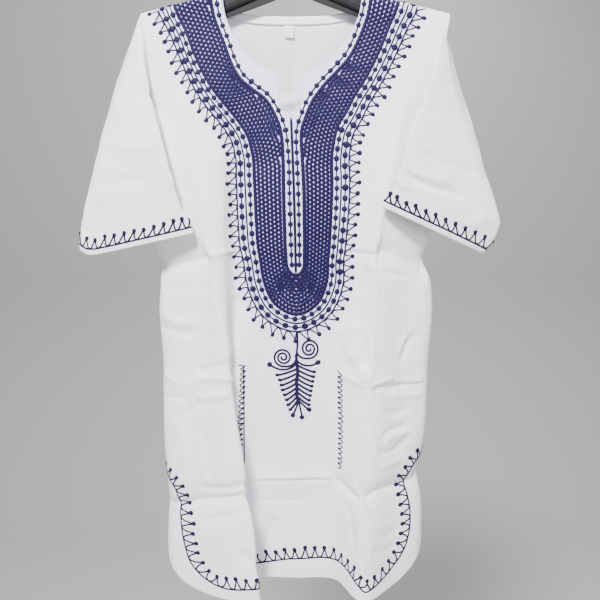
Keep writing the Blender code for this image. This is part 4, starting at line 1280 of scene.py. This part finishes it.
band = Sewing()
for number in range(int(cells_across.max()) + 1):
    line = outer_fine + (inner_fine - outer_fine) * (number / cells_across)[:, None]
    line = np.where((number <= cells_across - 0.5)[:, None], line, np.nan)
    swing = CELL_SWING * (0.35 if number == 0 else 1.0)
    lay_cell_cord(band, line, number, swing, BAND_EDGE_WIDTH if number == 0 else BAND_CORD_WIDTH)
lay_cell_cord(band, inner_fine, 0, 0.3 * CELL_SWING, BAND_EDGE_WIDTH)
band.finish("plastron_band", BAND_THREAD)

outer_line = even_steps(outer_fine, 0.004)
lower = ease((outer_line[:, 1] - ROWS_SPREAD_FROM) / ROWS_SPREAD_OVER)
row_spread = np.where(outer_line[:, 0] < 0, LEFT_ROWS_SPREAD + (1 - LEFT_ROWS_SPREAD) * lower, 1.0)
rows = Sewing()
dot_row(FRONT, rows, offset(outer_line, INNER_DOTS_OUT * row_spread), 0.0143, 0.0090, 0.0086)
lay(FRONT, rows, offset(outer_line, INNER_LINE_OUT * row_spread), LINE_WIDTH, LINE_HEIGHT)
dot_row(FRONT, rows, offset(outer_line, OUTER_DOTS_OUT * row_spread), 0.0156, 0.0103, 0.0095)
lay(FRONT, rows, offset(outer_line, OUTER_LINE_OUT * row_spread), LINE_WIDTH, LINE_HEIGHT)
for half, stations in ((-1.0, LEFT_STATIONS), (1.0, RIGHT_STATIONS)):
    line = even_steps(band_edge(stations, 0) * (half, 1.0), 0.002)
    line = offset(line[line[:, 1] < SLIT_DOTS_END], half * NECK_DOTS_INSIDE)
    dot_row(FRONT, rows, line, 0.0150, 0.0082, 0.0080, 2.7 * MM)
    slit = np.array(((half * 1.0, SLIT_LINE_START), (half * 1.0, SLIT_END / MM - 8)))
    lay(FRONT, rows, even_steps(slit * MM, 0.005), STRING_WIDTH, LINE_HEIGHT)
rows.finish("plastron_rows", KNOT_THREAD)

fringe = Sewing()
fringe_line = offset(outer_line, OUTER_LINE_OUT * row_spread)
looped_fringe(FRONT, fringe, fringe_line, 0.0156, 0.0140, 0.0070, lean=0.05)
fringe.finish("plastron_fringe", LINE_THREAD)


# The finial: a stem, two spirals, two arms with knots and a fern of curved leaves.
STEM_TOP = (0.0, 0.498)
SPIRAL_WIDTH = 3.6 * MM
LEAF_PAIRS = 8
fern = Sewing()


def fern_line(points, width=0.0028, spacing=0.002):
    """Sew a curved line, its points in mm from the top of the stem."""
    line = curve_through(np.array(points, dtype=float) * MM, spacing) + STEM_TOP
    lay(FRONT, fern, line, width, 0.0012)
    return line


def spiral(centre, start_radius, end_radius, start_turn, turns):
    """Points of a spiral, mm from the top of the stem, from outside in."""
    steps = np.linspace(0.0, 1.0, int(abs(turns) * 16))
    radius = start_radius + (end_radius - start_radius) * steps
    angle = 2 * math.pi * (start_turn + turns * steps)
    return np.stack([centre[0] + radius * np.cos(angle), centre[1] + radius * np.sin(angle)],
                    axis=1)


fern_line(((0.5, -1), (1, 12), (0.5, 25), (-1, 38), (-1.5, 46)), 0.0036)
fern_line(((-1.5, 36), (-1.2, 42), (-0.5, 50)), 0.0052)
fern_line(((-1.5, 44), (0, 56), (0.5, 68), (-1.5, 80), (-1, 92), (-1.5, 104), (1, 114)), 0.0062)
right_spiral = spiral((20.5, 27.5), 15.8, 2.0, 0.28, -2.35)
fern_line(np.vstack([((-1.0, 31), (2.0, 37.5), (8.5, 41.8)), right_spiral]), SPIRAL_WIDTH)
left_spiral = spiral((-21.5, 41.5), 14.8, 2.0, 0.22, 2.4)
fern_line(np.vstack([((-1.5, 45), (-5.0, 51.0), (-11.5, 55.2)), left_spiral]), SPIRAL_WIDTH)
for points, size in ((((0, 47), (7, 52), (16, 54.5), (27, 53.8), (35, 50)), 0.0084),
                     (((-1, 50), (-7, 56.5), (-16, 60.5), (-27, 60.8), (-36, 57.5), (-42.5, 53.5)),
                      0.0084)):
    line = fern_line(points, SPIRAL_WIDTH)
    dot(FRONT, fern, line[-1], unit(line[-1] - line[-3]), size * 1.1, size)
for pair in range(LEAF_PAIRS):
    for half, tip, start, shrink, step_down, step_foot in (
            (-1.0, (33.0, 69.8), 59.5, 2.65, 8.1, 7.2), (1.0, (31.8, 64.5), 53.5, 1.65, 7.7, 7.4)):
        reach = tip[0] - shrink * pair + 0.5 * random.standard_normal()
        foot = start + step_foot * pair
        low = tip[1] + step_down * pair
        drop = low - foot
        points = ((0, foot), (half * reach * 0.28, foot + 0.42 * drop),
                  (half * reach * 0.60, foot + 0.80 * drop),
                  (half * reach * 0.86, foot + 1.01 * drop), (half * reach, low - 0.6))
        line = fern_line(points, 0.0039)
        tip_line = line[-4:] + (0.0, 0.0004)
        lay(FRONT, fern, even_steps(tip_line, 0.0012), 0.0054, 0.0014)
for points in (((1, 112), (-2, 121), (-5.5, 130), (-8, 136)),
               ((1, 112), (7, 117), (13, 123), (18.5, 127)),
               ((1.5, 113), (3.2, 122), (4.8, 131), (6, 139.5))):
    line = fern_line(points, 0.0034)
    dot(FRONT, fern, line[-1], unit(line[-1] - line[-3]), 0.0084, 0.0078)
fern.finish("fern_motif", LINE_THREAD)


def paint_blue_bounce(piece):
    """Mark how near each place of the front's cut is to the blue thread, 0 to 1, for the painted blue
    bounce light.
    """
    mesh = piece.data
    flat = np.empty(2 * len(mesh.loops), dtype=np.float32)
    mesh.uv_layers["cut"].data.foreach_get("uv", flat)
    across, depth = flat.reshape(-1, 2).astype(float).T
    middle = ((inner_fine + outer_fine) / 2)[::40]
    half = np.linalg.norm(outer_fine - inner_fine, axis=1)[::40] / 2
    gap, share = distance_to(middle, across, depth)
    half = np.interp(share, np.linspace(0.0, 1.0, len(half)), half)
    band = 1 - ease((gap - half) / 0.004)
    rows = 0.42 * (1 - ease((gap - half - 0.024) / 0.022))
    stem = np.array(((0.0, 0.0), (0.0, 0.125))) + STEM_TOP
    gap, _ = distance_to(stem, across, depth)
    leaves = 0.30 * (1 - ease((gap - 0.018) / 0.012))
    nearness = np.maximum(np.maximum(band, rows), leaves)
    layer = mesh.attributes.new(BOUNCE_NEARNESS, "FLOAT", "CORNER")
    layer.data.foreach_set("value", nearness.astype(np.float32))


# the front's cotton gets its painted blue bounce light near the embroidery
paint_blue_bounce(front)


# Pocket slits: a row of small slanted strokes, the left one closed with a straight line.
pockets = Sewing()
POCKETS = (((-87, 553), (-83, 716)), ((72, 561), (73, 724)))
POCKET_STROKES = 19
POCKET_HALF_WIDTH = 0.0042
POCKET_CORD = 0.0022
for number, (top, foot) in enumerate(POCKETS):
    top = np.array(top) * MM
    foot = np.array(foot) * MM
    pitch = (foot - top) / POCKET_STROKES
    strokes = []
    for stroke in range(POCKET_STROKES):
        wander = 0.0004 * random.standard_normal()
        start = top + pitch * stroke + (wander - POCKET_HALF_WIDTH, 0.0)
        end = top + pitch * (stroke + 0.72) + (wander + POCKET_HALF_WIDTH, 0.0)
        strokes += [start, start + 0.5 * (end - start), end, end + 0.30 * pitch - (0.0022, 0.0)]
    strokes.append(foot - (POCKET_HALF_WIDTH, 0.0))
    line = curve_through(np.array(strokes), 0.0015)
    if number == 0:
        line[:, 0] = 2 * (top[0] + foot[0]) / 2 - line[:, 0]
        edge = (POCKET_HALF_WIDTH, 0.0)
        for first, last, step in ((top + edge, foot + edge, 0.003), (top - edge, top + edge, 0.002)):
            lay(FRONT, pockets, even_steps(np.vstack([first, last]), step), POCKET_CORD, LINE_HEIGHT)
    lay(FRONT, pockets, line, POCKET_CORD, LINE_HEIGHT, 5)
pockets.finish("pocket_stitches", LINE_THREAD)


# The line sewn inside the hem, as the hand guided it: across and down in mm.
FRONT_HEM_LINE = (
    (-256, 729), (-248, 734), (-241, 740), (-232, 751), (-230, 766), (-228, 783), (-226, 806),
    (-224, 830), (-221, 850), (-216, 872), (-206, 889), (-192, 900), (-175, 905), (-151, 904), (-128, 902),
    (-100, 900), (-75, 898), (-50, 897), (-13, 889), (17, 888), (50, 888), (81, 890), (106, 895),
    (122, 903), (132, 909), (142, 908), (164, 903), (184, 896), (200, 884), (212, 866), (218, 845),
    (219, 811), (216, 780), (216, 757), (225, 737), (236, 718), (252, 710),
)
BACK_HEM_LINE = (
    (-253, 741), (-243, 745), (-233, 752), (-226, 768), (-223, 790), (-222, 815), (-220, 840),
    (-214, 862), (-202, 879), (-184, 888), (-160, 891), (-110, 891), (-55, 890), (0, 891), (55, 891),
    (110, 890), (160, 891), (184, 888), (202, 879), (214, 862), (220, 840), (222, 815), (223, 790),
    (226, 768), (233, 752), (243, 744), (253, 740),
)

for name, drape, route in (("front", FRONT, FRONT_HEM_LINE), ("back", BACK, BACK_HEM_LINE)):
    hem = Sewing()
    line = curve_through(np.array(route, dtype=float) * MM, 0.003)
    lay(drape, hem, line, LINE_WIDTH, 0.0011)
    looped_fringe(drape, hem, line, 0.0166, 0.0165, 0.0076, SCALLOP, flip=-1.0, even_height=0.016,
                  string=HEM_STRING_WIDTH)
    hem.finish("hem_embroidery_" + name, LINE_THREAD)

CUFF_BAND = 0.0095
CUFF_PITCH = 0.0158
CUFF_SWING = 0.0150
for arm, drape in sleeve_drapes.items():
    cuff = Sewing()
    distances = np.arange(0.0, drape.cuff_length, 0.003)
    around = drape.share_at(distances)
    points, away = drape.surface(around, np.full_like(around, CUFF_BAND), THREAD_RISE)
    cuff.cord(np.vstack([points, points[:2]]), np.vstack([away, away[:2]]), LINE_WIDTH, 0.0011)
    count = int(round(drape.cuff_length / CUFF_PITCH))
    step = drape.cuff_length / count
    shape = curve_through(SCALLOP, 0.07)
    path = []
    for index in range(count):
        tall = CUFF_SWING * (1 + 0.08 * random.standard_normal())
        for share, rise in shape[:-1]:
            path.append(((index + share) * step, CUFF_BAND + rise * tall))
        place, out = drape.surface(drape.share_at(np.array([index * step, index * step + 0.001])),
                                   np.array([CUFF_BAND + tall, CUFF_BAND + tall]), WALL / 2)
        cuff.knot(place[0], unit(place[1] - place[0]), out[0], 0.0070, 0.0074, 0.0018)
    path = np.array(path + [path[0]])
    points, away = drape.surface(drape.share_at(path[:, 0]), path[:, 1], THREAD_RISE)
    cuff.cord(points, away, HEM_STRING_WIDTH, STRING_HEIGHT, 5)
    cuff.finish("cuff_embroidery_" + arm, LINE_THREAD)


# --- facing, label and sewing ------------------------------------------------
def inside_back(name, flat_rows, thickness, material, node):
    """A narrow piece sewn to the inside of the back, from rows of flat places."""
    columns = len(flat_rows[0])
    flat = np.array(flat_rows).reshape(-1, 2)
    points = BACK.hung(flat[:, 0], flat[:, 1])
    points[:, 1] -= WALL + LAYER_GAP
    faces = [[r * columns + c, (r + 1) * columns + c, (r + 1) * columns + c + 1, r * columns + c + 1]
             for r in range(len(flat_rows) - 1) for c in range(columns - 1)]
    mesh = mesh_from(name, points, faces, "cut", flat)
    piece = link_piece(name, mesh, material)
    give_wall(piece, thickness)
    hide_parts(node)
    return piece


facing_rows = []
power = 2 / BACK_NECK_POWER
for spread in np.linspace(0.0, 1.0, 6):
    row = []
    for angle in np.radians(np.linspace(14, 166, 90)):
        across = -math.copysign(abs(math.cos(angle)) ** power, math.cos(angle))
        depth = 0.0006 + BACK_NECK_DROP * math.sin(angle) ** power + FACING_WIDTH * spread
        row.append((across * (NECK_HALF_WIDTH + 0.0006), depth))
    facing_rows.append(row)
inside_back("neck_facing", facing_rows, 0.0010, COTTON_TAPE, "back_neck_facing")
label_top = BACK_NECK_DROP + FACING_WIDTH + 0.0012
label_rows = [[(LABEL_CENTRE + LABEL_WIDTH * (c / 10 - 0.5), label_top + LABEL_HEIGHT * r / 12)
               for c in range(11)] for r in range(13)]
inside_back("bare_neck_label", label_rows, 0.0008, LABEL_SATIN, "neck_label")


def stitch_line(sewing, points, away, length=0.0026, gap=0.0014, width=0.0007):
    """Short stitches end to end along a line on the cloth."""
    run = run_of(points)
    count = int(run[-1] / (length + gap))
    for index in range(count):
        start = index * (length + gap)
        at = np.array((start, start + 0.5 * length, start + length))
        line = np.stack([np.interp(at, run, column) for column in points.T], axis=1)
        out = np.stack([np.interp(at, run, column) for column in away.T], axis=1)
        line[1] += out[1] * 0.0002
        sewing.cord(line, out, width, 0.0005, 4, ends=0.5)


stitches = Sewing()
outline = even_steps(HEM_OUTLINE, 0.003)
for drape in (FRONT, BACK):
    for inset in (0.0045, 0.0075):
        line = outline - outward(outline) * inset
        line = line[line[:, 1] > VENT_TOP]
        stitch_line(stitches, *drape.surface(line[:, 0], line[:, 1], WALL / 2))
for half in (-1.0, 1.0):
    depths = np.linspace(0.003, 0.118, 40)
    across = np.array([front_neck(d) + 0.003 for d in depths]) * half
    stitch_line(stitches, *FRONT.surface(across, depths, WALL / 2))
    depths = np.linspace(0.062, UNDERARM_DEPTH - 0.01, 60)
    across = half * (pattern_half_width(depths) - 0.007)
    stitch_line(stitches, *FRONT.surface(across, depths, WALL / 2))
    stitch_line(stitches, *BACK.surface(across, depths, WALL / 2))
facing_line = np.array(facing_rows[-1]) - (0.0, 0.0016)
inner = BACK.hung(facing_line[:, 0], facing_line[:, 1]) - (0.0, WALL + LAYER_GAP + 0.0006, 0.0)
stitch_line(stitches, inner, np.tile((0.0, -1.0, 0.0), (len(inner), 1)))
for drape in sleeve_drapes.values():
    around = drape.share_at(np.arange(0.0, drape.cuff_length, 0.003))
    stitch_line(stitches, *drape.surface(around, np.full_like(around, 0.005), WALL / 2))
stitches.finish("white_stitches", SEWING_THREAD)

seams = Sewing()
for side in (-1.0, 1.0):
    depths = np.arange(UNDERARM_DEPTH - 0.002, VENT_TOP, 0.004)
    across = side * pattern_half_width(depths)
    middle = (FRONT.hung(across, depths) + BACK.hung(across, depths)) / 2
    seams.cord(middle, np.tile((side, 0.0, 0.0), (len(middle), 1)), 0.0022, 0.0014)
    across = np.linspace(NECK_HALF_WIDTH + 0.001, SHOULDER_HALF_WIDTH, 34)
    depths = (across - NECK_HALF_WIDTH) * SHOULDER_DROP / (SHOULDER_HALF_WIDTH - NECK_HALF_WIDTH)
    middle = (FRONT.hung(side * across, depths) + BACK.hung(side * across, depths)) / 2
    seams.cord(middle, np.tile((0.0, 0.0, 1.0), (len(middle), 1)), 0.0020, 0.0013)
    for drape in (FRONT, BACK):
        depths = np.linspace(SHOULDER_DROP + 0.001, UNDERARM_DEPTH - 0.001, 60)
        edge = drape.hung(side * pattern_half_width(depths), depths)
        edge[:, 0] += side * SLEEVE_START_GAP / 2
        seams.cord(edge, np.tile((side, 0.0, 0.0), (len(edge), 1)), 0.0016, 0.0016)
seams.finish("sewn_seams", SEWING_THREAD)

# --- the hanger ---------------------------------------------------------------
hanger = bpy.data.objects["hanger"]
for material_slot in hanger.material_slots:
    material_slot.material = BLACK_PLASTIC

ARM_UNDERSIDE = -0.134     # the arm's lower edge where the neckline crosses it
ARM_SLOPE_INSIDE = 0.404
ARM_SLOPE_OUTSIDE = 0.243
RIB_THICKNESS = 0.0036
RIB_START = 0.012
RIB_LENGTH = 0.170
RIB_CUTS = 18


def hanger_rib(name, side):
    """The thin stiffening web moulded along the underside of an arm."""
    bpy.ops.mesh.primitive_cube_add(size=1.0)
    rib = bpy.context.object
    rib.name = name
    rib.data.name = name
    rib.scale = (RIB_LENGTH, RIB_THICKNESS, 1.0)
    bpy.ops.object.transform_apply(location=False, rotation=False, scale=True)
    bpy.ops.object.mode_set(mode="EDIT")
    bpy.ops.mesh.select_all(action="SELECT")
    bpy.ops.mesh.subdivide(number_cuts=RIB_CUTS)
    bpy.ops.object.mode_set(mode="OBJECT")
    for vertex in rib.data.vertices:
        out = vertex.co.x + RIB_LENGTH / 2 + RIB_START
        beyond = out - NECK_HALF_WIDTH
        slope = ARM_SLOPE_OUTSIDE if beyond > 0 else ARM_SLOPE_INSIDE
        deep = 0.010 - 0.008 * float(ease((out - RIB_START) / RIB_LENGTH))
        share = vertex.co.z + 0.5
        vertex.co.x = side * out
        vertex.co.y += 0.0012
        vertex.co.z = ARM_UNDERSIDE - beyond * slope - deep + (deep + 0.006) * share
    if side < 0:
        rib.data.flip_normals()
    rib.data.shade_flat()
    rib.data.materials.clear()
    rib.data.materials.append(BLACK_PLASTIC)
    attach(rib, BODY)


hanger_rib("hanger_rib_left", -1.0)
hanger_rib("hanger_rib_right", 1.0)

# --- stage, light and camera ----------------------------------------------------
FLOOR_HEIGHT = CAD_BOX[0][2] - 1.10


def make_sweep():
    """A pale floor that curves up into a wall well behind the shirt."""
    back_y = 3.2
    bend = 1.2
    profile = [(-4.0, FLOOR_HEIGHT), (back_y - bend, FLOOR_HEIGHT)]
    for angle in np.radians(np.linspace(8, 90, 12)):
        profile.append((back_y - bend + bend * math.sin(angle),
                        FLOOR_HEIGHT + bend * (1 - math.cos(angle))))
    profile.append((back_y, FLOOR_HEIGHT + 4.0))
    points = [(x, y, z) for y, z in profile for x in (-6.0, 6.0)]
    faces = [[2 * i, 2 * i + 1, 2 * i + 3, 2 * i + 2] for i in range(len(profile) - 1)]
    mesh = bpy.data.meshes.new("pale_sweep")
    mesh.from_pydata(points, [], faces)
    mesh.shade_smooth()
    mesh.materials.append(plain_paint("pale_grey_paint", "9f9c9a"))
    sweep = bpy.data.objects.new("pale_sweep", mesh)
    bpy.context.scene.collection.objects.link(sweep)


make_sweep()


def soft_light(name, place, target, size, power):
    """A square area light turned towards a point."""
    data = bpy.data.lights.new(name, "AREA")
    data.shape = "SQUARE"
    data.size = size
    data.energy = power
    light = bpy.data.objects.new(name, data)
    light.location = place
    light.rotation_euler = (Vector(target) - Vector(place)).to_track_quat("-Z", "Y").to_euler()
    bpy.context.scene.collection.objects.link(light)


soft_light("key_above", (-0.75, -2.4, 2.1), (0.0, 0.0, -0.5), 0.7, 455)
soft_light("side_fill", (1.7, -2.6, -0.1), (0.0, 0.0, -0.55), 1.6, 52)
soft_light("low_fill", (-1.3, -2.4, -1.3), (0.0, 0.0, -0.55), 1.6, 18)
soft_light("back_fill", (0.8, 2.3, 2.1), (0.0, 0.0, -0.5), 0.8, 170)
world = bpy.data.worlds.new("studio_air")
bpy.context.scene.world = world
world.use_nodes = True
world.node_tree.nodes["Background"].inputs["Color"].default_value = srgb("e6e7ea")
world.node_tree.nodes["Background"].inputs["Strength"].default_value = 0.24

camera_data = bpy.data.cameras.new("camera")
camera_data.lens = 38.4
camera_data.sensor_width = 36.0
camera = bpy.data.objects.new("camera", camera_data)
camera.location = (0.009, -0.998, -0.403)
camera.rotation_euler = (math.radians(81.0), 0.0, 0.0)
bpy.context.scene.collection.objects.link(camera)
bpy.context.scene.camera = camera
